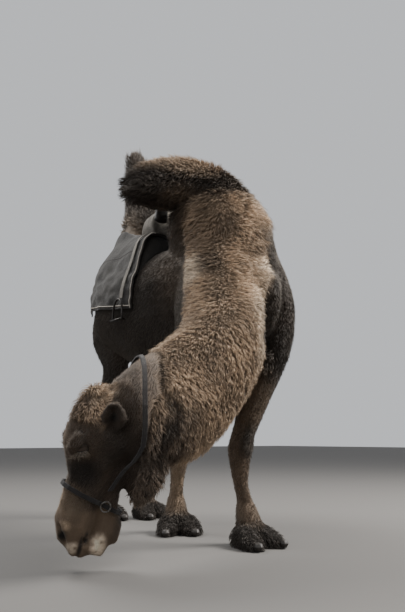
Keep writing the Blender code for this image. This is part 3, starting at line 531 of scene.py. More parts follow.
ripple = rippled(here, fold_line)
woolly = share_of_kind[:, KIND["neck"]]
relief = woolly * (0.0110 * ripple + 0.004 * waves(here, 0.09, 5))
beside = 0.4 * step_up(neck_turn, 22, 30) * (1 - step_up(neck_turn, 36, 66))
beside += (1 - step_up(neck_turn, -102, -90)) * step_up(neck_turn, -140, -115)
recess = 0.020 * beside * high_up * (1 - step_up(here[:, 2], 1.50, 1.66)) * (neck_far < 1.8)
depth = depth * (1 - 0.9 * near(here, (-0.224, -0.207, 1.739), (0.20, 0.22, 0.12)))  # where the pommel presses it
inward = depth + carved - relief + recess * share_of_kind[:, KIND["trunk"]]
skin_points = points - normals * spread(inward, edges, 2)[:, :1]
calm = spread(skin_points, edges, 2)
rounder = near(here, (0.16, -0.42, 1.34), (0.34, 0.40, 0.52))[:, None]
calm = calm * (1 - rounder) + spread(calm, edges, 70) * rounder
skin_points = np.where(on_head[:, None] > 0.3, skin_points, calm)
print("deepest coat", round(float(depth.max()), 4))

# %% [markdown]
# ## The lie of the coat
#
# Wool doesn't stand straight up. It runs back over the face, down the legs and the throat, and out along the humps.
# One direction for each part, pressed onto the surface and shared among neighbours, makes a flow without partings.

# %% Which way the hair runs
DOWN = np.array([0.0, 0.0, -1.0])


def hair_flow(here, local, shares):
    """A direction at each point, not yet pressed onto the skin."""
    aim = HEAD_TURN[:, 0]
    side = np.sign(local[:, 1])[:, None]
    is_front = (here[:, 1] < 0.05)[:, None]
    out_on_flop = step_up(-here[:, 0], 0.02, 0.16)[:, None]
    front_hump = (1 - out_on_flop) * np.array([-0.25, 0.25, -0.9]) + out_on_flop * np.array([-1.0, 0.1, -0.55])
    to_tip = step_up(here[:, 2], 1.72, 1.95)[:, None]
    rear_hump = (1 - to_tip) * np.array([0, 0.5, -0.85]) + to_tip * np.array([-0.25, 0.1, 1.0])
    turn_now = np.radians(neck_turn)
    sideways = np.stack([np.cos(turn_now), np.sin(turn_now), 0 * turn_now], axis=1)
    parted = sideways * (np.clip((neck_turn + 45) / 25, -1, 1) * 0.9 * step_up(here[:, 2], 0.9, 1.2))[:, None]
    flows = {
        "trunk": np.array([0.0, 0.55, -0.85]),
        "hump": np.where(is_front, front_hump, rear_hump),
        "neck": DOWN * 0.95 - 0.40 * neck_way + 0.3 * unit(here * [1, 0, 0]) + parted,
        "head": -aim + 0.35 * side * HEAD_TURN[:, 1] - 0.25 * HEAD_TURN[:, 2],
        "muzzle": -aim + 0.2 * side * HEAD_TURN[:, 1],
        "ear": (np.array([-0.9, 0.3, 0.1]) * np.where(side > 0, [1, 1, 1], [1, -1, 1])) @ HEAD_TURN.T,
        "tail": DOWN,
        "leg": np.array([0.0, 0.12, -1.0]),
        "foot": np.array([0.0, -0.45, -0.9]),
    }
    return unit(sum(shares[:, [k]] * unit(flows[kind]) for kind, k in KIND.items()))


flow = hair_flow(here, local, share_of_kind)
flow += 0.25 * np.stack([waves(here, 0.22, seed) for seed in (21, 22, 23)], axis=1)
flow -= normals * np.sum(flow * normals, axis=1, keepdims=True)
flow = spread(unit(flow), edges, 6)
flow = unit(flow - normals * np.sum(flow * normals, axis=1, keepdims=True))
print("flow ready")

# %% [markdown]
# ## Colour of the coat
#
# The wool is dark brown on the humps, flanks, thighs and knees, paler and warmer down the neck and on the lower legs,
# nearly black at the feet, and pale at the lips and on the poll. The colour is a sum of soft blots in places that are
# named by where they lie. Some blots are painted light and shade rather than markings: pale painted light on the lit
# edges of the neck, and painted shade in its hollow, under the front hump, on the left shoulder and forearm, in the
# nostrils, along the mouth and in the cups of the ears. Both the skin and every tuft read their colour from the same
# function.

# %% Markings, with painted light and shade
SOOT = np.array([0.016, 0.011, 0.008])
UMBER = np.array([0.045, 0.030, 0.020])
EARTH = np.array([0.125, 0.085, 0.055])
SAND = np.array([0.270, 0.195, 0.130])
CREAM = np.array([0.560, 0.460, 0.350])
KIND_COLOUR = {
    "trunk": 0.60 * UMBER + 0.05 * EARTH,
    "hump": 0.6 * SOOT + 0.4 * UMBER,
    "neck": 0.15 * EARTH + 1.05 * SAND,
    "head": 0.75 * UMBER + 0.25 * EARTH,
    "muzzle": 0.85 * EARTH + 0.15 * SAND,
    "ear": UMBER,
    "tail": SOOT,
    "leg": 0.85 * EARTH + 0.15 * SAND,
    "foot": 0.6 * SOOT + 0.1 * UMBER,
}
BODY_TINTS = [
    # centre and reach from the spine's foot, colour, strength
    # painted light: the lit left edge of the neck is made cream, higher up and lower down
    ("painted light on the left edge of the neck", (-0.03, -0.77, 1.12), (0.12, 0.22, 0.44), CREAM, 0.7),
    ("painted light on the left edge of the neck, lower", (-0.13, -0.82, 1.00), (0.14, 0.18, 0.26), CREAM, 0.55),
    ("left side of the throat", (-0.20, -0.66, 0.78), (0.22, 0.20, 0.26), SAND, 0.5),
    # painted light: the lit right edge of the neck is made cream
    ("painted light on the right edge of the neck", (-0.33, -0.52, 1.30), (0.06, 0.12, 0.24), CREAM, 0.95),
    # painted shade in the hollow beside the neck's right edge
    ("painted shade in the hollow of the neck", (-0.285, -0.60, 1.31), (0.06, 0.12, 0.24), UMBER, 0.6),
    # painted shade in the hollow under the front hump
    ("painted shade in the hollow under the hump", (-0.26, -0.52, 1.55), (0.16, 0.26, 0.22), EARTH, 0.4),
    ("throat", (-0.70, -0.80, 0.46), (0.24, 0.24, 0.28), 0.8 * UMBER, 0.9),
    ("beard", (-0.73, -0.76, 0.30), (0.16, 0.16, 0.16), UMBER, 0.85),
    ("beside the wool", (-0.30, -0.26, 1.50), (0.16, 0.24, 0.44), EARTH, 0.45),
    ("right flank", (-0.42, 0.0, 1.05), (0.30, 0.42, 0.42), SOOT, 0.6),
    ("left flank", (0.42, 0.0, 1.05), (0.30, 0.42, 0.42), SOOT, 0.45),
    # painted shade on the shaded left shoulder
    ("painted shade on the left shoulder", (0.14, -0.60, 1.15), (0.22, 0.20, 0.45), UMBER, 0.6),
    ("belly", (0.0, 0.1, 0.80), (0.45, 0.70, 0.20), SOOT, 0.6),
    # dark wool on the left forearm, with painted shade of its shaded side
    ("dark wool and painted shade on the left forearm", (0.09, -0.60, 0.88), (0.17, 0.20, 0.26), SOOT, 0.9),
    ("right forearm", (-0.13, -0.20, 0.75), (0.17, 0.22, 0.25), SOOT, 0.6),
    ("left knee", (-0.045, -0.62, 0.46), (0.10, 0.10, 0.13), SOOT, 0.85),
    ("right knee", (-0.11, -0.15, 0.46), (0.10, 0.10, 0.12), SOOT, 0.75),
    ("left thigh", (0.17, 0.56, 0.86), (0.20, 0.30, 0.30), SOOT, 0.5),
    ("right thigh", (-0.19, 0.60, 0.86), (0.20, 0.30, 0.30), SOOT, 0.6),
    ("left hock", (0.13, 0.66, 0.58), (0.10, 0.12, 0.12), UMBER, 0.6),
    ("right hock", (-0.16, 0.74, 0.58), (0.10, 0.12, 0.12), UMBER, 0.6),
    ("right cannon", (-0.12, -0.14, 0.27), (0.12, 0.12, 0.18), 1.3 * SAND, 0.9),
    ("foot of the rear hump", (-0.20, 0.40, 1.72), (0.20, 0.26, 0.20), SAND, 0.65),
    ("crown of the front hump", (-0.26, -0.36, 1.94), (0.40, 0.28, 0.13), 1.3 * SAND, 1.0),
    ("shoulder of the front hump", (0.02, -0.34, 1.86), (0.26, 0.30, 0.16), EARTH, 0.55),
    ("tip of the rear hump", (-0.12, 0.44, 2.30), (0.18, 0.18, 0.12), UMBER, 0.5),
]
HEAD_TINTS = [
    ("poll", (-0.055, 0.050, 0.020), (0.070, 0.080, 0.070), 1.6 * SAND, 0.8),
    ("curls on the forehead", (0.020, 0.040, 0.090), (0.080, 0.080, 0.060), EARTH, 0.7),
    ("brow", (0.150, 0.0, 0.100), (0.10, 0.10, 0.05), EARTH, 0.45),
    ("below the eye", (0.215, 0.095, 0.040), (0.040, 0.05, 0.030), SAND, 0.3),
    ("cheek", (0.16, 0.100, -0.06), (0.16, 0.07, 0.09), SOOT, 0.5),
    ("jaw", (0.26, 0.050, -0.12), (0.20, 0.07, 0.07), UMBER, 0.8),
    ("before the noseband", (0.270, 0.05, 0.03), (0.08, 0.10, 0.10), 0.6 * SOOT, 0.85),
    ("bridge of the nose", (0.385, 0.03, 0.06), (0.075, 0.10, 0.10), SAND, 0.85),
    ("rim of the nostril", (0.466, 0.054, 0.060), (0.026, 0.035, 0.034), 1.3 * SAND, 0.8),
    ("tip of the lip", (0.548, 0.045, 0.016), (0.034, 0.040, 0.034), CREAM, 0.8),
    ("lower lip", (0.535, 0.040, -0.085), (0.060, 0.055, 0.042), 1.4 * CREAM, 1.0),
    ("corner of the mouth", (0.425, 0.060, -0.052), (0.030, 0.030, 0.020), SAND, 0.6),
    ("chin", (0.470, 0.0, -0.150), (0.075, 0.07, 0.045), UMBER, 0.95),
    # painted shade in the slit of the nostril and round it
    ("nostril", (0.516, 0.050, 0.066), (0.052, 0.036, 0.030), 0.25 * SOOT, 1.0),
    # painted shade along the closed mouth and in the corners of the lips
    ("mouth line", (0.545, 0.045, -0.014), (0.055, 0.040, 0.013), SOOT, 0.95),
    ("painted shade in the corner of the lips", (0.505, 0.056, -0.034), (0.035, 0.030, 0.015), SOOT, 0.9),
    # painted shade in the cup of the ear
    ("cup of the ear", (0.050, 0.134, -0.022), (0.038, 0.040, 0.026), 0.4 * SOOT, 1.0),
    ("lobe of the ear", (0.092, 0.112, 0.008), (0.028, 0.030, 0.022), SAND, 0.7),
    ("rim of the eye", (0.178, 0.095, 0.058), (0.034, 0.030, 0.030), SOOT, 0.8),
]


def markings_and_painted_shading(here, local, shares):
    """The colour of the coat at each point, painted light and shade included, as rows of red, green and blue."""
    colour = shares @ np.array([KIND_COLOUR[kind] for kind in COAT])
    wool_share = shares[:, KIND["neck"]]
    for name, centre, reach, tint, strength in BODY_TINTS:
        hold = strength * near(here, centre, reach)[:, None]
        if "neck" in name:
            hold = hold * wool_share[:, None]
        colour = colour * (1 - hold) + tint * hold
    both_sides = local * [1, 0, 1] + np.abs(local) * [0, 1, 0]
    ragged = np.clip(1 + 0.6 * waves(here, 0.022, 33) + 0.3 * waves(here, 0.008, 34), 0, 1.3)
    for name, centre, reach, tint, strength in HEAD_TINTS:
        hold = strength * near(both_sides, centre, reach)[:, None]
        if "lip" in name or name == "poll" or "rim" in name:
            hold = np.minimum(hold * ragged[:, None], 1)
        colour = colour * (1 - hold) + tint * hold
    cloudy = 1 + 0.22 * waves(here, 0.24, 31) + 0.13 * waves(here, 0.07, 32)
    return np.clip(colour * cloudy[:, None], 0.002, 0.8)


colours = markings_and_painted_shading(here, local, share_of_kind)
print("mean colour", colours.mean(axis=0).round(3))

# %% [markdown]
# ## A material for skin and wool
#
# The colour comes with the points. The material adds what is too fine for them: a grain of single hairs, which also
# dents the surface, and a softer mottling. It is dull, with a faint sheen at the edges as wool has.


# %% Skin and wool materials
def wool_material(name, grain, dent, sheen):
    recipe = Recipe(name, Roughness=0.78, Specular_IOR_Level=0.22, Sheen_Weight=sheen, Sheen_Roughness=0.55)
    recipe.shader.inputs["Sheen Tint"].default_value = (0.85, 0.78, 0.70, 1)
    where = recipe.place()
    fine = recipe.noise(recipe.stretched(where, (grain, grain, grain * 0.35)), 1.0, 4.0, 0.65)
    mottle = recipe.noise(where, 9.0, 3.0)
    recipe.coat_colour(0.62 + fine * 0.55 + mottle * 0.22)
    recipe.set("Roughness", 0.66 + fine * 0.2)
    recipe.set("Normal", recipe.bump(fine, dent, 0.8))
    return recipe.material


skin_material = wool_material("skin", 330.0, 0.0025, 0.1)
wool = wool_material("wool", 420.0, 0.0006, 0.25)
print("materials ready")

# %% Finish the skin
SKIN_SHADE = 0.62  # the skin between the roots is darker than the wool
on_sole = (points[:, 2] < 0.02) & (normals[:, 2] < -0.4)
skin_points[on_sole] = points[on_sole]
skin.data.vertices.foreach_set("co", skin_points.astype(np.float32).ravel())
skin.data.update()
skin.data.materials.clear()
skin.data.materials.append(skin_material)
skin.data.shade_smooth()


def paint_points(mesh, rgb):
    layer = mesh.color_attributes.new("coat", "FLOAT_COLOR", "POINT")
    layer.data.foreach_set("color", np.column_stack([rgb, np.ones(len(rgb))]).astype(np.float32).ravel())


def dress(obj, slot, *stands_for):
    """Fixes a piece to the camel and hides the solids that it takes the place of. Its slot is not used."""
    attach(obj, "root")
    if stands_for:
        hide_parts(*stands_for)
    return obj


paint_points(skin.data, colours * SKIN_SHADE)
dress(skin, "wool_brown", *FLESH)
normals = normals_of(skin.data)
print("skin sunk")

# %% [markdown]
# ## A flat map of the skin
#
# Each tuft takes its place on a flat map from the spot where it is rooted. The map is an unwrap of a light copy of
# the skin. The nearest face of that copy tells a root its place on the map.

# %% Unwrap a light copy
MAP_FACES = 14000
light = link("light", skin.data.copy())
modify(light, "DECIMATE", ratio=MAP_FACES / len(skin.data.polygons))
baked(light)
bpy.context.view_layer.objects.active = light
bpy.ops.object.select_all(action="DESELECT")
light.select_set(True)
bpy.ops.object.mode_set(mode="EDIT")
bpy.ops.mesh.select_all(action="SELECT")
bpy.ops.uv.smart_project(angle_limit=math.radians(66), island_margin=0.003)
bpy.ops.object.mode_set(mode="OBJECT")
light_points, _ = mesh_arrays(light.data)
map_faces = [list(p.vertices) for p in light.data.polygons]
map_loops = np.empty(len(light.data.loops) * 2, np.float32)
light.data.uv_layers.active.data.foreach_get("uv", map_loops)
map_loops = map_loops.reshape(-1, 2).astype(float)
map_starts = np.array([p.loop_start for p in light.data.polygons])
light_tree = BVHTree.FromPolygons(light_points.tolist(), map_faces)
map_corners = np.array([f[:3] for f in map_faces])
bpy.data.objects.remove(light)


def place_on_map(points):
    """The spot on the flat map for each point."""
    hits = [light_tree.find_nearest(p) for p in points.tolist()]
    face = np.array([h[2] for h in hits])
    spot = np.array([h[0] for h in hits])
    a, b, c = (light_points[map_corners[face, k]] for k in range(3))
    ab, ac, ap = b - a, c - a, spot - a
    d00, d01, d11 = (ab * ab).sum(1), (ab * ac).sum(1), (ac * ac).sum(1)
    d20, d21 = (ap * ab).sum(1), (ap * ac).sum(1)
    below = np.maximum(d00 * d11 - d01 * d01, 1e-18)
    v = np.clip((d11 * d20 - d01 * d21) / below, 0, 1)[:, None]
    w = np.clip((d00 * d21 - d01 * d20) / below, 0, 1)[:, None]
    start = map_starts[face]
    return map_loops[start] * (1 - v - w) + map_loops[start + 1] * v + map_loops[start + 2] * w


print("the map has", len(map_faces), "faces")

# %% [markdown]
# ## Rooting the tufts
#
# Roots are scattered over the triangles of the skin in proportion to the coat's density, in even steps through the
# list so that they don't bunch. Nothing grows under the saddle cloth, on the soles, over the nails or in the eyes.


# %% Scatter the roots
def tree_of(names):
    some_points, some_triangles, _ = joined(names)
    return BVHTree.FromPolygons(some_points.tolist(), some_triangles.tolist())


EYE_MARGIN = 0.0245  # nothing grows this close to the middle of an eye
NAIL_MARGIN = 0.007
UNDER_CLOTH = 0.16  # nor where the cloth is this close over the skin
CLOTH_NODES = sorted(n for n in nodes if n.startswith("saddle_cloth"))
NAIL_NODES = sorted(n for n in nodes if n.startswith("nail_"))
EYE_NODES = ("eye_left", "eye_right")
cloth_tree = tree_of(CLOTH_NODES)
nail_tree = tree_of(NAIL_NODES)
eye_centres = {name: (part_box(name)[0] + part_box(name)[1]) / 2 for name in EYE_NODES}

skin_points, skin_triangles = mesh_arrays(skin.data)
corners = skin_points[skin_triangles]
areas = np.linalg.norm(np.cross(corners[:, 1] - corners[:, 0], corners[:, 2] - corners[:, 0]), axis=1) / 2
wanted = areas * density[skin_triangles].mean(axis=1)
heap = np.cumsum(wanted)
root_count = int(heap[-1])
picks = np.searchsorted(heap, (np.arange(root_count) + draw.random(root_count)) / root_count * heap[-1])
picks = np.minimum(picks, len(areas) - 1)
u, v = draw.random((2, root_count))
flip = u + v > 1
u[flip], v[flip] = 1 - u[flip], 1 - v[flip]
weights = np.stack([1 - u - v, u, v], axis=1)


def at_roots(values):
    """A point value of the skin, read at the roots."""
    return np.einsum("nk,nk...->n...", weights, values[skin_triangles[picks]])


root = at_roots(skin_points)
root_normal = unit(at_roots(normals))
bare = (root[:, 2] < 0.03) & (root_normal[:, 2] < -0.3)
for centre in eye_centres.values():
    bare |= np.linalg.norm(root - np.array(centre), axis=1) < EYE_MARGIN
for k in np.flatnonzero((root[:, 2] > 0.9) & (np.abs(root[:, 1] - 0.3) < 0.36)).tolist():  # round the saddle
    bare[k] |= cloth_tree.ray_cast(Vector(root[k]), Vector(root_normal[k]), UNDER_CLOTH)[0] is not None
for k in np.flatnonzero(root[:, 2] < 0.09).tolist():  # on the feet
    bare[k] |= nail_tree.find_nearest(Vector(root[k]), NAIL_MARGIN)[0] is not None
kept = ~bare
picks, weights = picks[kept], weights[kept]
root, root_normal = root[kept], root_normal[kept]
root_flow = unit(at_roots(flow))
root_flow = unit(root_flow - root_normal * np.sum(root_flow * root_normal, axis=1, keepdims=True))
root_colour = at_roots(colours)
root_kind = at_roots(share_of_kind).argmax(axis=1)
root_length, root_width, root_lift, root_curl = (at_roots(values) for values in (length, width, lift, curl))
root_ripple = rippled(root - SPINE, at_roots(fold_line))
root_map = place_on_map(root)
print("roots", len(root), dict(zip(COAT, np.bincount(root_kind, minlength=len(KIND)))))

# %% [markdown]
# ## Building a tuft
#
# A tuft is a thin, three-sided spike. It leaves the skin at a low angle, arches, and lays its tip on the tuft behind
# it. Long wool gets more joints so that it can bend and curl. The tips of neighbours are drawn together a little, the
# way greasy wool hangs in locks.

# %% The tuft maker
RINGS = {"fine": 1, "tuft": 2, "lock": 3}
FORM_OF = {"tail": "lock", "head": "fine", "muzzle": "fine", "ear": "fine", "trunk": "fine", "leg": "fine"}
MAP_PATCH = 0.003
ROOT_DEPTH = 0.003  # how far a tuft starts below the skin


def spike_faces(rings):
    """The triangles of one spike: the sides between its rings, and the tip. Its root is open, inside the skin."""
    faces = []
    for ring in range(rings - 1):
        for k in range(3):
            a, b = 3 * ring + k, 3 * ring + (k + 1) % 3
            faces += [(a, a + 3, b + 3), (a, b + 3, b)]
    last = 3 * (rings - 1)
    faces += [(last + k, 3 * rings, last + (k + 1) % 3) for k in range(3)]
    return np.array(faces)


def grow(base, normal, way, colour, spot, size, wide, raise_by, curl_by, rings, together, centres):
    """Points, faces, colours and map places of many spikes at once."""
    count = len(base)
    side = np.cross(normal, way)
    angle = np.radians(raise_by)[:, None]
    tip = size[:, None] * (way * np.cos(angle) + normal * np.sin(angle)) + side * (curl_by * size)[:, None]
    goal = base + tip
    goal = goal + (goal[centres] - goal) * together[:, None]
    rows = []
    bulge = normal * (0.16 * size)[:, None]
    for s in [ring / rings for ring in range(rings)]:
        bend = s * s * (3 - 2 * s) * 0.35 + s * 0.65
        centre = base - normal * (ROOT_DEPTH * (1 - s)) + (goal - base) * bend + bulge * (4 * s * (1 - s))
        thick = (wide * (1 - s) ** 0.75)[:, None]
        rows += [centre - side * thick / 2, centre + side * thick / 2, centre + normal * thick * 0.42]
    rows.append(goal)
    body = np.stack(rows, axis=1)
    body[:, :, 2] = np.maximum(body[:, :, 2], 0.0012)
    alongs = np.append(np.repeat(np.arange(rings) / rings, 3), 1.0)
    shade = 0.50 + 0.75 * alongs**0.8
    tones = colour[:, None, :] * shade[None, :, None]
    around = np.append(np.tile([0.0, 0.5, 1.0], rings), 0.5)
    patch = np.stack([alongs, around], axis=1) * MAP_PATCH - MAP_PATCH / 2
    places = np.clip(spot[:, None, :] + patch[None], 0.0, 1.0)
    faces = spike_faces(rings)
    every = (faces[None] + (np.arange(count) * body.shape[1])[:, None, None]).reshape(-1, 3)
    return body.reshape(-1, 3), every, tones.reshape(-1, 3), places.reshape(-1, 2)


def coat_piece(name, parts):
    """One object from what grow() returned, in one or several helpings."""
    starts = np.cumsum([0] + [len(part[0]) for part in parts])
    faces = np.concatenate([part[1] + start for part, start in zip(parts, starts)])
    points, tones, places = (np.concatenate([part[k] for part in parts]) for k in (0, 2, 3))
    mesh = mesh_from(name, points, faces)
    paint_points(mesh, tones)
    layer = mesh.uv_layers.new(name="OFBake")
    layer.data.foreach_set("uv", places[faces.ravel()].astype(np.float32).ravel())
    dress(link(name, mesh, wool), "wool_brown")
    print(name, len(faces), "triangles")


# %% Draw neighbours together
CLUMP = {"trunk": 5, "hump": 6, "neck": 5, "head": 4, "muzzle": 1, "ear": 3, "tail": 6, "leg": 4, "foot": 6}
TOGETHER = {"trunk": 0.30, "hump": 0.42, "neck": 0.42, "head": 0.30, "muzzle": 0, "ear": 0.3, "tail": 0.5}
TOGETHER.update({"leg": 0.35, "foot": 0.45})


def gather(which, step):
    """For each of these roots, the nearest of every step-th one among them."""
    if step <= 1:
        return np.arange(len(which))
    heads = draw.permutation(len(which))[: max(1, len(which) // step)]
    lookup = KDTree(len(heads))
    for spot, k in enumerate(heads.tolist()):
        lookup.insert(root[which[k]], spot)
    lookup.balance()
    return heads[[lookup.find(p)[1] for p in root[which].tolist()]]


GROUPS = {
    "trunk": ("trunk",),
    "humps": ("hump",),
    "neck": ("neck",),
    "head": ("head", "muzzle", "ear"),
    "legs": ("leg",),
    "feet": ("foot", "tail"),
}
MOST = 190000  # triangles to a coat piece
for group, kinds in GROUPS.items():
    helpings = []
    for kind in kinds:
        which = np.flatnonzero(root_kind == KIND[kind])
        rings = RINGS[FORM_OF.get(kind, "tuft")]
        centres = gather(which, CLUMP[kind])
        vary = draw.normal(size=(5, len(which)))
        crest = root_ripple[which] * (kind == "neck")
        size = root_length[which] * np.clip(1 + 0.25 * vary[0] + 0.30 * crest, 0.35, 1.8)
        wide = root_width[which] * np.clip(1 + 0.2 * vary[1], 0.5, 1.6)
        raise_by = root_lift[which] + 6 * vary[2] + 8 * crest
        curl_by = root_curl[which] * vary[3] * 0.8
        # painted shade in the creases of the neck's folds and painted light on their crests, over a random spread of
        # tone
        shade = np.clip(1 + 0.16 * vary[4] + 0.85 * crest, 0.15, 2.1)
        together = np.full(len(which), TOGETHER[kind]) * (centres != np.arange(len(which)))
        order = np.argsort(root[which][:, 1], kind="stable")
        back = np.empty(len(which), int)
        back[order] = np.arange(len(which))
        pick = which[order]
        spikes = [root[pick], root_normal[pick], root_flow[pick], root_colour[pick] * shade[order, None]]
        spikes += [root_map[pick]] + [values[order] for values in (size, wide, raise_by, curl_by)]
        helpings.append((grow(*spikes, rings, together[order], back[centres[order]]), len(which), rings))
    merged, tally, number = [], 0, 1
    for (points, faces, tones, places), count, rings in helpings:
        per_spike, per_points = len(spike_faces(rings)), 3 * rings + 1
        done = 0
        while done < count:
            take = min(count - done, (MOST - tally) // per_spike)
            if take <= 0:
                coat_piece(f"coat_{group}_{number}", merged)
                merged, tally, number = [], 0, number + 1
                continue
            p0, p1 = done * per_points, (done + take) * per_points
            f0, f1 = done * per_spike, (done + take) * per_spike
            merged.append((points[p0:p1], faces[f0:f1] - p0, tones[p0:p1], places[p0:p1]))
            tally += take * per_spike
            done += take
    coat_piece(f"coat_{group}_{number}", merged)

# %% [markdown]
# ## Eyes
#
# An eyeball is a ball with a slightly domed cornea. The camel looks down at its food, so the upper lid is most of
# the way closed, and pale lashes hang from its edge. Each lid is a thin shell round the hinge between the corners.


# %% Eyeballs
EYE_SPOT = (0.178, 0.086, 0.058)
EYE_RADIUS = 0.0205
SLIT_TURN = 70  # degrees from the head's length to the slit between the lids, over the brow
PUPIL = np.array([0.006, 0.004, 0.004])
IRIS = np.array([0.050, 0.026, 0.012])
WHITE = np.array([0.070, 0.050, 0.040])


def sheet_faces(rows, columns, wrap=False, closed=False):
    """Four-sided faces over a grid of points. Wrap closes each row, and closed joins the last row to the first."""
    out = []
    for i in range(rows if closed else rows - 1):
        here, there = i * columns, (i + 1) % rows * columns
        for j in range(columns if wrap else columns - 1):
            k = (j + 1) % columns
            out.append((here + j, here + k, there + k, there + j))
    return np.array(out)


def outward(mesh, sides=0):
    """Turns all faces of a mesh to look out, and closes holes of up to this many sides."""
    bm = bmesh.new()
    bm.from_mesh(mesh)
    if sides:
        bmesh.ops.holes_fill(bm, edges=bm.edges, sides=sides)
    else:
        bmesh.ops.remove_doubles(bm, verts=bm.verts, dist=1e-5)
    bmesh.ops.recalc_face_normals(bm, faces=bm.faces)
    bm.to_mesh(mesh)
    bm.free()
    return mesh


def eye_axes(side):
    """The eye's middle, and the ways forwards, up towards the brow and out, all in the world."""
    out = Vector((0.16, side * 0.93, 0.33)).normalized()
    ahead = (Vector((1, 0, 0)) - out * out.x).normalized()
    up = ahead.cross(out) * side
    lean = math.radians(SLIT_TURN)
    ahead, up = ahead * math.cos(lean) + up * math.sin(lean), up * math.cos(lean) - ahead * math.sin(lean)
    middle = from_head((EYE_SPOT[0], side * EYE_SPOT[1], EYE_SPOT[2]))
    turn = HEAD.to_3x3()
    return [np.array(middle)] + [np.array(turn @ way) for way in (ahead, up, out)]


eye_recipe = Recipe("eye", Roughness=0.08, Coat_Weight=0.9, Coat_Roughness=0.03, IOR=1.38)
eye_recipe.coat_colour(0.7 + eye_recipe.noise(eye_recipe.place(), 900.0, 2.0) * 0.6)
for side, name in ((1, "eye_left"), (-1, "eye_right")):
    middle, ahead, up, out = eye_axes(side)
    from_front = np.radians(np.linspace(0, 180, 25))[:, None]
    round_eye = np.radians(np.arange(32) * 360 / 32)[None, :]
    dome = EYE_RADIUS * (1 + 0.05 * np.exp(-((np.degrees(from_front) / 32) ** 2)))
    way = np.cos(from_front)[..., None] * out + np.sin(from_front)[..., None] * (
        np.cos(round_eye)[..., None] * ahead + np.sin(round_eye)[..., None] * up
    )
    ball = (middle + way * dome[..., None]).reshape(-1, 3)
    mesh = mesh_from(name + "_ball", ball, sheet_faces(25, 32, wrap=True))
    wide = np.degrees(from_front) * np.sqrt(0.45 * np.cos(round_eye) ** 2 + 1.9 * np.sin(round_eye) ** 2)
    in_pupil = (1 - step_up(wide, 14, 19))[..., None]
    in_iris = (1 - step_up(np.degrees(from_front) + 0 * round_eye, 44, 54))[..., None]
    tone = in_iris * (in_pupil * PUPIL + (1 - in_pupil) * IRIS) + (1 - in_iris) * WHITE
    paint_points(mesh, tone.reshape(-1, 3))
    dress(link(name + "_ball", outward(mesh), eye_recipe.material), "eye", name)
print("eyes made")


# %% Lids and lashes
def lid_shell(name, side, low, high, inner, outer, colour):
    """A shell from angle low to angle high above the way out, between two radii from the eye's middle."""
    middle, ahead, up, out = eye_axes(side)
    rise = np.radians(np.linspace(low, high, 13))
    along = np.radians(np.linspace(-84, 84, 25))
    loop = [(e, inner) for e in rise]  # round the shell's section: its inner side, and then back along its outer one
    for k, e in reversed(list(enumerate(rise))):
        swell = 0.0012 * math.sin(math.pi * min(1.0, k / 3)) + 0.0008 * math.cos(k * 2.2)
        loop.append((e, outer + swell))
    points = []
    for e, radius in loop:
        for a in along:
            edge = 1 - 0.10 * abs(math.sin(a)) ** 4
            way = ahead * math.sin(a) + math.cos(a) * (out * math.cos(e) + up * math.sin(e))
            points.append(middle + way * radius * edge)
    rows = len(loop)
    mesh = mesh_from(name, np.array(points), sheet_faces(rows, len(along), closed=True))
    near_edge = np.array([abs(math.degrees(e) - (low if abs(low) < abs(high) else high)) for e, _ in loop])
    tone = np.where((near_edge < 8)[:, None, None], 0.5 * SOOT, colour) + np.zeros((rows, len(along), 3))
    paint_points(mesh, tone.reshape(-1, 3))
    dress(link(name, outward(mesh), skin_material), "wool_brown")


LASHES = (
    # 1 for the upper lid and -1 for the lower, degrees above the way out, how many, their length, how they hang
    (1, 7, 30, 0.034, -0.95),
    (-1, -27, 20, 0.012, -0.9),
)
lash_parts = []
for side, name in ((1, "left"), (-1, "right")):
    lid_shell(f"lid_upper_{name}", side, 4, 104, EYE_RADIUS + 0.0012, EYE_RADIUS + 0.0046, 0.8 * UMBER)
    lid_shell(f"lid_lower_{name}", side, -104, -24, EYE_RADIUS + 0.0010, EYE_RADIUS + 0.0034, 0.8 * UMBER)
    middle, ahead, up, out = eye_axes(side)
    for way, rise, count, size, hang in LASHES:
        along = np.radians(np.linspace(-62, 68, count) + draw.normal(0, 1.5, count))
        e = math.radians(rise)
        face = np.sin(along)[:, None] * ahead + np.cos(along)[:, None] * (out * math.cos(e) + up * math.sin(e))
        foot = middle + face * (EYE_RADIUS + 0.0034)
        aim = unit(0.75 * face + hang * up * (1.0 if way > 0 else 0.5) + 0.30 * ahead)
        lash = [foot, face, unit(aim - face * np.sum(aim * face, axis=1, keepdims=True) * 0.2)]
        lash += [np.tile(CREAM * 0.5, (count, 1)), np.full((count, 2), 0.5), size * (1 + draw.normal(0, 0.15, count))]
        lash += [np.full(count, 0.0009), np.full(count, 14.0), draw.normal(0, 0.1, count)]
        lash_parts.append(grow(*lash, 3, np.zeros(count), np.arange(count)))
coat_piece("coat_lashes", lash_parts)

# %% [markdown]
# ## What the camel wears
#
# The solids say where each thing lies. The saddle cloth is one draped sheet over the padding, bound with pale braid.
# Straps and metal are smoothed copies of their solids, and the irons are tubes with a tread.


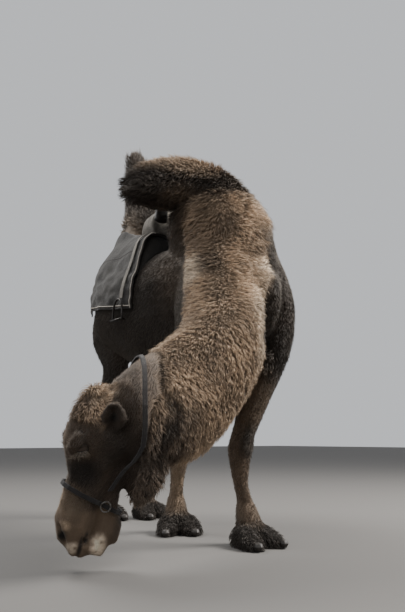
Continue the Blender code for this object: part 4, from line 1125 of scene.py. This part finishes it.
# %% Materials for cloth, leather, webbing and metal
def woven(name, light, dark, thread, rough=0.92):
    """Coarse cloth: threads that pass over and under each other, with patches worn paler."""
    recipe = Recipe(name, Roughness=rough, Specular_IOR_Level=0.15, Sheen_Weight=0.15, Sheen_Roughness=0.6)
    where = recipe.place()
    over = recipe.noise(recipe.stretched(where, (thread * 0.3, thread * 1.2, thread * 0.3)), 1.0, 2.0)
    under = recipe.noise(recipe.stretched(where, (thread * 1.1, thread * 0.25, thread * 1.1)), 1.0, 2.0)
    worn = recipe.noise(where, 7.0, 4.0, 0.6)
    dust = recipe.noise(where, 42.0, 3.0, 0.6)
    share = recipe.between(over * 0.45 + under * 0.35 + worn * 0.5 + dust * 0.3, 0.55, 1.0)
    recipe.set("Base Color", recipe.mix(share, (*dark, 1), (*light, 1)))
    recipe.set("Roughness", rough - 0.12 + over * 0.2)
    recipe.set("Normal", recipe.bump(over + under, 0.0015, 0.9, recipe.bump(dust, 0.002, 0.5)))
    return recipe.material


def leather(name, light, dark):
    """A dull hide with a fine grain, rubbed paler in patches."""
    recipe = Recipe(name, Roughness=0.55, Specular_IOR_Level=0.35)
    where = recipe.place()
    grain = recipe.noise(where, 420.0, 3.0, 0.6, 0.4)
    worn = recipe.noise(where, 28.0, 4.0, 0.6)
    recipe.set("Base Color", recipe.mix(recipe.between(worn, 0.40, 0.72), (*dark, 1), (*light, 1)))
    recipe.set("Roughness", 0.40 + worn * 0.35)
    recipe.set("Normal", recipe.bump(grain, 0.0008, 0.7))
    return recipe.material


def worn_metal(name, bright, stain, rough, weight):
    """Metal with stained spots, which are also rougher."""
    recipe = Recipe(name, Metallic=weight, Roughness=rough)
    where = recipe.place()
    spots = recipe.noise(where, 95.0, 5.0, 0.65)
    recipe.set("Base Color", recipe.mix(recipe.between(spots, 0.42, 0.64), (*bright, 1), (*stain, 1)))
    recipe.set("Roughness", rough - 0.1 + spots * 0.35)
    recipe.set("Normal", recipe.bump(spots, 0.0008, 0.5))
    return recipe.material


cloth_look = woven("saddle_cloth", (0.030, 0.026, 0.022), (0.008, 0.007, 0.006), 900)
band_look = woven("cloth_band", (0.036, 0.030, 0.026), (0.014, 0.012, 0.011), 900)
braid_look = woven("braid", (0.46, 0.42, 0.36), (0.24, 0.21, 0.18), 1500)
seat_look = woven("seat", (0.13, 0.115, 0.095), (0.025, 0.022, 0.018), 1100)
halter_look = woven("halter", (0.022, 0.018, 0.016), (0.006, 0.005, 0.005), 1600)
strap_look = woven("strap", (0.22, 0.20, 0.17), (0.09, 0.08, 0.07), 1500)
roll_look = leather("roll", (0.045, 0.036, 0.030), (0.014, 0.012, 0.011))
iron_look = worn_metal("stirrup_iron", (0.040, 0.037, 0.034), (0.018, 0.012, 0.009), 0.50, 0.7)
steel_look = worn_metal("ring", (0.17, 0.16, 0.15), (0.06, 0.05, 0.04), 0.42, 0.9)
horn = Recipe("nail", Roughness=0.5)
horn_lines = horn.noise(horn.stretched(horn.place(), (120, 120, 500)), 1.0, 3.0)
horn_share = horn.between(horn_lines, 0.3, 0.7)
horn.set("Base Color", horn.mix(horn_share, (0.010, 0.008, 0.007, 1), (0.034, 0.027, 0.021, 1)))
horn.set("Normal", horn.bump(horn_lines, 0.0008, 0.6))
print("materials for the tack ready")

# %% The saddle cloth, draped
AXIS_HEIGHT = 1.20
CLOTH_BACK = 0.63
COLLAR = 16  # degrees from the top that stay free beside the rear hump
SEAT_ROOM = 0.176  # the cloth crosses the spine as far back as this
EDGE = 0.004  # how far the sheet keeps inside its solids
HEM_INSET = 0.8  # degrees, for the same reason
DEGREE = 0.0105  # metres of cloth to a degree
seat_tree = tree_of(["saddle_seat"])


def hem(y):
    """The degrees from the top down to the hem, y metres behind the front of the cloth."""
    return 94 - 11 * y / CLOTH_BACK


def reach_to(tree, y, angle, otherwise=None):
    """How far from the axis the outside of these solids is, at degrees from the top to the camel's right."""
    a = math.radians(angle)
    out = Vector((-math.sin(a), 0, math.cos(a)))
    start = Vector(SPINE) + Vector((0, y, AXIS_HEIGHT))
    hit = tree.ray_cast(start + out * 2.0, -out)[0]
    return otherwise if hit is None else (hit - start).length


def at_reach(y, angle, reach):
    """The spot this far from the axis."""
    a = math.radians(angle)
    return np.array(SPINE) + [-math.sin(a) * reach, y, AXIS_HEIGHT + math.cos(a) * reach]


def smoothed(grid, rounds):
    """Averages each number of a grid with its neighbours."""
    for _ in range(rounds):
        padded = np.pad(grid, 1, mode="edge")
        grid = (grid * 2 + padded[:-2, 1:-1] + padded[2:, 1:-1] + padded[1:-1, :-2] + padded[1:-1, 2:]) / 6
    return grid


ROWS, COLUMNS = 64, 201
cloth_y = np.linspace(EDGE, CLOTH_BACK - EDGE, ROWS)
cloth_side = np.linspace(-1, 1, COLUMNS)
reach = np.zeros((ROWS, COLUMNS))
for i, y in enumerate(cloth_y):
    for j in sorted(range(COLUMNS), key=lambda k: abs(cloth_side[k])):  # from the spine down to the hems
        turn = cloth_side[j] * (hem(y) - HEM_INSET)
        probe = min(y, SEAT_ROOM) if abs(turn) < COLLAR + 1 else y
        above = reach[i, j - 1] if turn > 0 else reach[i, min(j + 1, COLUMNS - 1)]
        reach[i, j] = reach_to(cloth_tree, probe, turn, above)
reach = smoothed(reach, 5) - 0.005
turns = cloth_side[None, :] * (hem(cloth_y)[:, None] - HEM_INSET)
grid_spots = np.stack([0 * turns + cloth_y[:, None], turns * DEGREE, 0 * turns], axis=-1).reshape(-1, 3)
crease = waves(grid_spots, 0.13, 41).reshape(ROWS, COLUMNS)
ruck = waves(grid_spots * [1, 0.35, 1], 0.045, 42).reshape(ROWS, COLUMNS)
down = step_up(np.abs(turns), 30, 60)
reach += 0.0065 * crease * down + 0.0014 * ruck - 0.004 * step_up(np.abs(turns), 82, 94)
reach -= EDGE * down * (1 - step_up(cloth_y, 0.0, 0.03)[:, None])  # the front edge tucks in
cloth_points = np.array([[at_reach(y, t, r) for t, r in zip(tt, rr)] for y, tt, rr in zip(cloth_y, turns, reach)])
faces = sheet_faces(ROWS, COLUMNS)
behind_seat = cloth_y[faces[:, 0] // COLUMNS] > SEAT_ROOM + 0.003
faces = faces[~(behind_seat & (np.abs(turns.ravel()[faces[:, 0]]) < COLLAR))]
faces = faces[:, ::-1]  # turned over, so that they look out
used, renumbered = np.unique(faces, return_inverse=True)
cut = cloth_points.reshape(-1, 3)
cloth = link("cloth", mesh_from("cloth", cut[used], renumbered.reshape(faces.shape)), cloth_look)
cloth.data.materials.append(band_look)
for polygon, corner in zip(cloth.data.polygons, faces[:, 0]):
    y, t = cloth_y[corner // COLUMNS], abs(turns.ravel()[corner])
    polygon.material_index = int(y < 0.020 or t > hem(y) - 3.2 or 41 < t < 43.2)  # its bound edges and its seams
modify(cloth, "SOLIDIFY", thickness=0.006, offset=-1.0)
baked(cloth)
cloth.data.shade_smooth()
dress(cloth, "saddle_cloth", *CLOTH_NODES)


# %% Tubes, and the braid that binds the cloth
def tube(name, path, radius, look, slot, sides=8, closed=False):
    """A round tube along path."""
    path = np.array(path)
    ahead = np.roll(path, -1, axis=0) - np.roll(path, 1, axis=0)
    if not closed:
        ahead[0], ahead[-1] = path[1] - path[0], path[-1] - path[-2]
    ahead = unit(ahead)
    side = unit(np.cross(ahead, [0.3, 0.2, 0.93]))
    up = np.cross(side, ahead)
    turn = np.arange(sides) * 2 * math.pi / sides
    rings = path[:, None] + radius * (
        np.cos(turn)[None, :, None] * side[:, None] + np.sin(turn)[None, :, None] * up[:, None]
    )
    mesh = mesh_from(name, rings.reshape(-1, 3), sheet_faces(len(path), sides, wrap=True, closed=closed))
    return dress(link(name, outward(mesh, sides), look), slot)


def on_grid(y, turn):
    """Which row and column of the cloth's grid a spot is at, as fractions."""
    side = turn / (hem(y) - HEM_INSET)
    return float(np.interp(y, cloth_y, np.arange(ROWS))), float(np.interp(side, cloth_side, np.arange(COLUMNS)))


def cloth_at(y, turn, lift):
    """A spot above the draped cloth."""
    i, j = on_grid(y, turn)
    i0, j0 = min(int(i), ROWS - 2), min(int(j), COLUMNS - 2)
    u, v = i - i0, j - j0
    r = (1 - u) * ((1 - v) * reach[i0, j0] + v * reach[i0, j0 + 1]) + u * (
        (1 - v) * reach[i0 + 1, j0] + v * reach[i0 + 1, j0 + 1]
    )
    return at_reach(y, turn, r + lift)


BRAID = 0.0032  # the radius of the braid
SEAM = 0.0014
BRAID_INSET = 3.4  # degrees from the hem up to the braid
SEAM_TURN = 42
for way, name in ((1, "right"), (-1, "left")):
    front = [cloth_at(0.014, way * t, 0.001) for t in np.linspace(20, hem(0.014) - 1.2, 60)]
    lower = [cloth_at(y, way * (hem(y) - BRAID_INSET), 0.001) for y in np.linspace(0.01, CLOTH_BACK - 0.01, 60)]
    seam = [cloth_at(y, way * SEAM_TURN, 0.0005) for y in np.linspace(0.016, CLOTH_BACK - 0.01, 60)]
    tube(f"braid_front_{name}", front, BRAID, braid_look, "strap", 6)
    tube(f"braid_hem_{name}", lower, BRAID, braid_look, "strap", 6)
    tube(f"seam_{name}", seam, SEAM, band_look, "saddle_cloth", 6)
print("bindings sewn on")

# %% The stuffed roll under the cloth, and the seat
PAD_REACH = 62  # degrees from the top down to the foot of each roll
SEAT_REACH = 25.5
PAD_SPAN = (0.006, 0.200)  # where the rolls begin and end, behind the front edge of the cloth
SEAT_SPAN = (0.016, 0.164)


def stuffed(name, span, turn_span, floor_of, top_of, look, slot, columns, rows, stands_for=()):
    """A closed cushion between two surfaces given by their reach, rounded off to its edges."""
    low, high = [], []
    for i, y in enumerate(np.linspace(*span, rows)):
        for j, t in enumerate(np.linspace(*turn_span, columns)):
            u, v = 2 * i / (rows - 1) - 1, 2 * j / (columns - 1) - 1
            crown = max(0.0, (1 - abs(u) ** 5) * (1 - abs(v) ** 6)) ** 0.5
            bottom, top = floor_of(y, t), top_of(y, t)
            quilt = 0.0030 * math.cos(u * math.pi * 3) * crown
            low.append(at_reach(y, t, bottom))
            high.append(at_reach(y, t, bottom + max(top - bottom, 0.004) * (0.10 + 0.90 * crown) + quilt))
    count = rows * columns
    top_faces = sheet_faces(rows, columns)
    faces = [top_faces, top_faces[:, ::-1] + count]
    rim = list(range(columns - 1)) + [k * columns + columns - 1 for k in range(rows - 1)]
    rim += [count - 1 - k for k in range(columns - 1)] + [(rows - 1 - k) * columns for k in range(rows - 1)]
    faces.append(np.array([(a, b, b + count, a + count) for a, b in zip(rim, rim[1:] + rim[:1])]))
    mesh = mesh_from(name, np.array(high + low), np.concatenate(faces))
    obj = dress(link(name, outward(mesh), look), slot, *stands_for)


def pad_top(y, t):
    """The reach of the padding, just under the cloth."""
    i, j = on_grid(y, t)
    return float(reach[int(round(i)), int(round(j))]) - 0.009


def pad_floor(y, t):
    return reach_to(flesh_tree, y, t, 0.4) - 0.004


def seat_floor(y, t):
    return pad_top(y, t) + 0.0115


def seat_top(y, t):
    return (reach_to(seat_tree, y, t, None) or pad_top(y, t) + 0.05) - 0.002


for way, name in ((1, "right"), (-1, "left")):
    span = sorted((way * 1.0, way * PAD_REACH))
    stuffed(f"saddle_pad_{name}", PAD_SPAN, span, pad_floor, pad_top, cloth_look, "saddle_cloth", 41, 25)
seat_turns = (-SEAT_REACH, SEAT_REACH)
stuffed("seat", SEAT_SPAN, seat_turns, seat_floor, seat_top, seat_look, "saddle_seat", 61, 41, ["saddle_seat"])
print("seat stuffed")


# %% Smoothed copies of straps, pommels, nails and rings
def smooth_copy(node, look, slot, grain, rounds, keep, swell=0.0):
    """The node's own shape in an even mesh, rounded off, with a finish."""
    obj = link(node + "_fine", nodes[node].data.copy())
    obj.matrix_world = nodes[node].matrix_world.copy()
    obj.data.materials.clear()
    obj.data.materials.append(look)
    modify(obj, "REMESH", mode="VOXEL", voxel_size=grain)
    modify(obj, "SMOOTH", factor=0.5, iterations=rounds)
    modify(obj, "DECIMATE", ratio=keep)
    baked(obj)
    obj.data.shade_smooth()
    if swell:
        some, _ = mesh_arrays(obj.data)
        obj.data.vertices.foreach_set("co", (some + normals_of(obj.data) * swell).astype(np.float32).ravel())
        obj.data.update()
    dress(obj, slot, node)


for side in ("left", "right"):
    smooth_copy(f"pommel_{side}", roll_look, "pommel", 0.0035, 8, 0.5, swell=0.003)
    smooth_copy(f"halter_ring_{side}", steel_look, "halter_ring", 0.0010, 6, 0.4)
    smooth_copy(f"stirrup_strap_{side}", strap_look, "strap", 0.0015, 4, 0.3)
for name in NAIL_NODES:
    smooth_copy(name, horn.material, "nail", 0.0016, 8, 0.35, swell=0.0012)
smooth_copy("halter_noseband", halter_look, "halter", 0.0012, 2, 0.4)
smooth_copy("halter_headstall", halter_look, "halter", 0.0013, 2, 0.4)

# %% Stirrup irons and the buckles of their leathers
IRON = 0.0060  # the radius of its bar
TREAD_HEIGHT = 0.008
BUCKLE_AT = (0.072, 58, 0.010)  # metres behind the cloth's front edge, degrees from the top, metres above the cloth
BUCKLE_CORNERS = ((-0.012, -1.3), (0.012, -1.3), (0.012, 1.3), (-0.012, 1.3))
for way, side in ((1, "left"), (-1, "right")):
    low, high = (np.array(v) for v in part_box(f"stirrup_{side}"))
    middle = (low + high) / 2
    half = (high[1] - low[1]) / 2 - 0.009
    rise = high[2] - low[2] - 0.013
    bend = np.linspace(0, math.pi, 33)
    arch = [(middle[0], middle[1] - half * math.cos(a), low[2] + 0.007 + rise * math.sin(a) ** 0.75) for a in bend]
    iron = tube(f"iron_{side}", arch, IRON, iron_look, "stirrup_iron", 10)
    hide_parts(f"stirrup_{side}")
    bm = bmesh.new()
    bmesh.ops.create_cube(bm, size=1.0)
    bmesh.ops.scale(bm, vec=(high[0] - low[0] - 0.002, high[1] - low[1] - 0.004, TREAD_HEIGHT), verts=bm.verts)
    bmesh.ops.translate(bm, vec=(middle[0], middle[1], low[2] + 0.0052), verts=bm.verts)
    bmesh.ops.bevel(bm, geom=bm.edges, offset=0.0025, segments=3, affect="EDGES")
    tread_mesh = bpy.data.meshes.new(f"tread_{side}")
    bm.to_mesh(tread_mesh)
    bm.free()
    dress(link(f"tread_{side}", tread_mesh, iron_look), "stirrup_iron")
    behind, turn, above = BUCKLE_AT
    buckle = [cloth_at(behind + dy, -way * (turn + more), above) for dy, more in BUCKLE_CORNERS]
    path = [a + (b - a) * k / 5 for a, b in zip(buckle, buckle[1:] + buckle[:1]) for k in range(5)]
    pin = [(buckle[0] + buckle[1]) / 2, (buckle[2] + buckle[3]) / 2]
    tube(f"buckle_{side}", path, 0.0022, steel_look, "halter_ring", closed=True)
    tube(f"buckle_pin_{side}", pin, 0.0016, steel_look, "halter_ring")
print("tack made")

# %% [markdown]
# ## The floor

# %% Floor
bpy.ops.mesh.primitive_plane_add(size=60, location=(0, 0, -0.0005))
floor = bpy.context.object
floor.name = "floor"
ground = Recipe("floor", Roughness=0.9)
ground.shader.inputs["Base Color"].default_value = (0.105, 0.100, 0.094, 1)
floor.data.materials.append(ground.material)
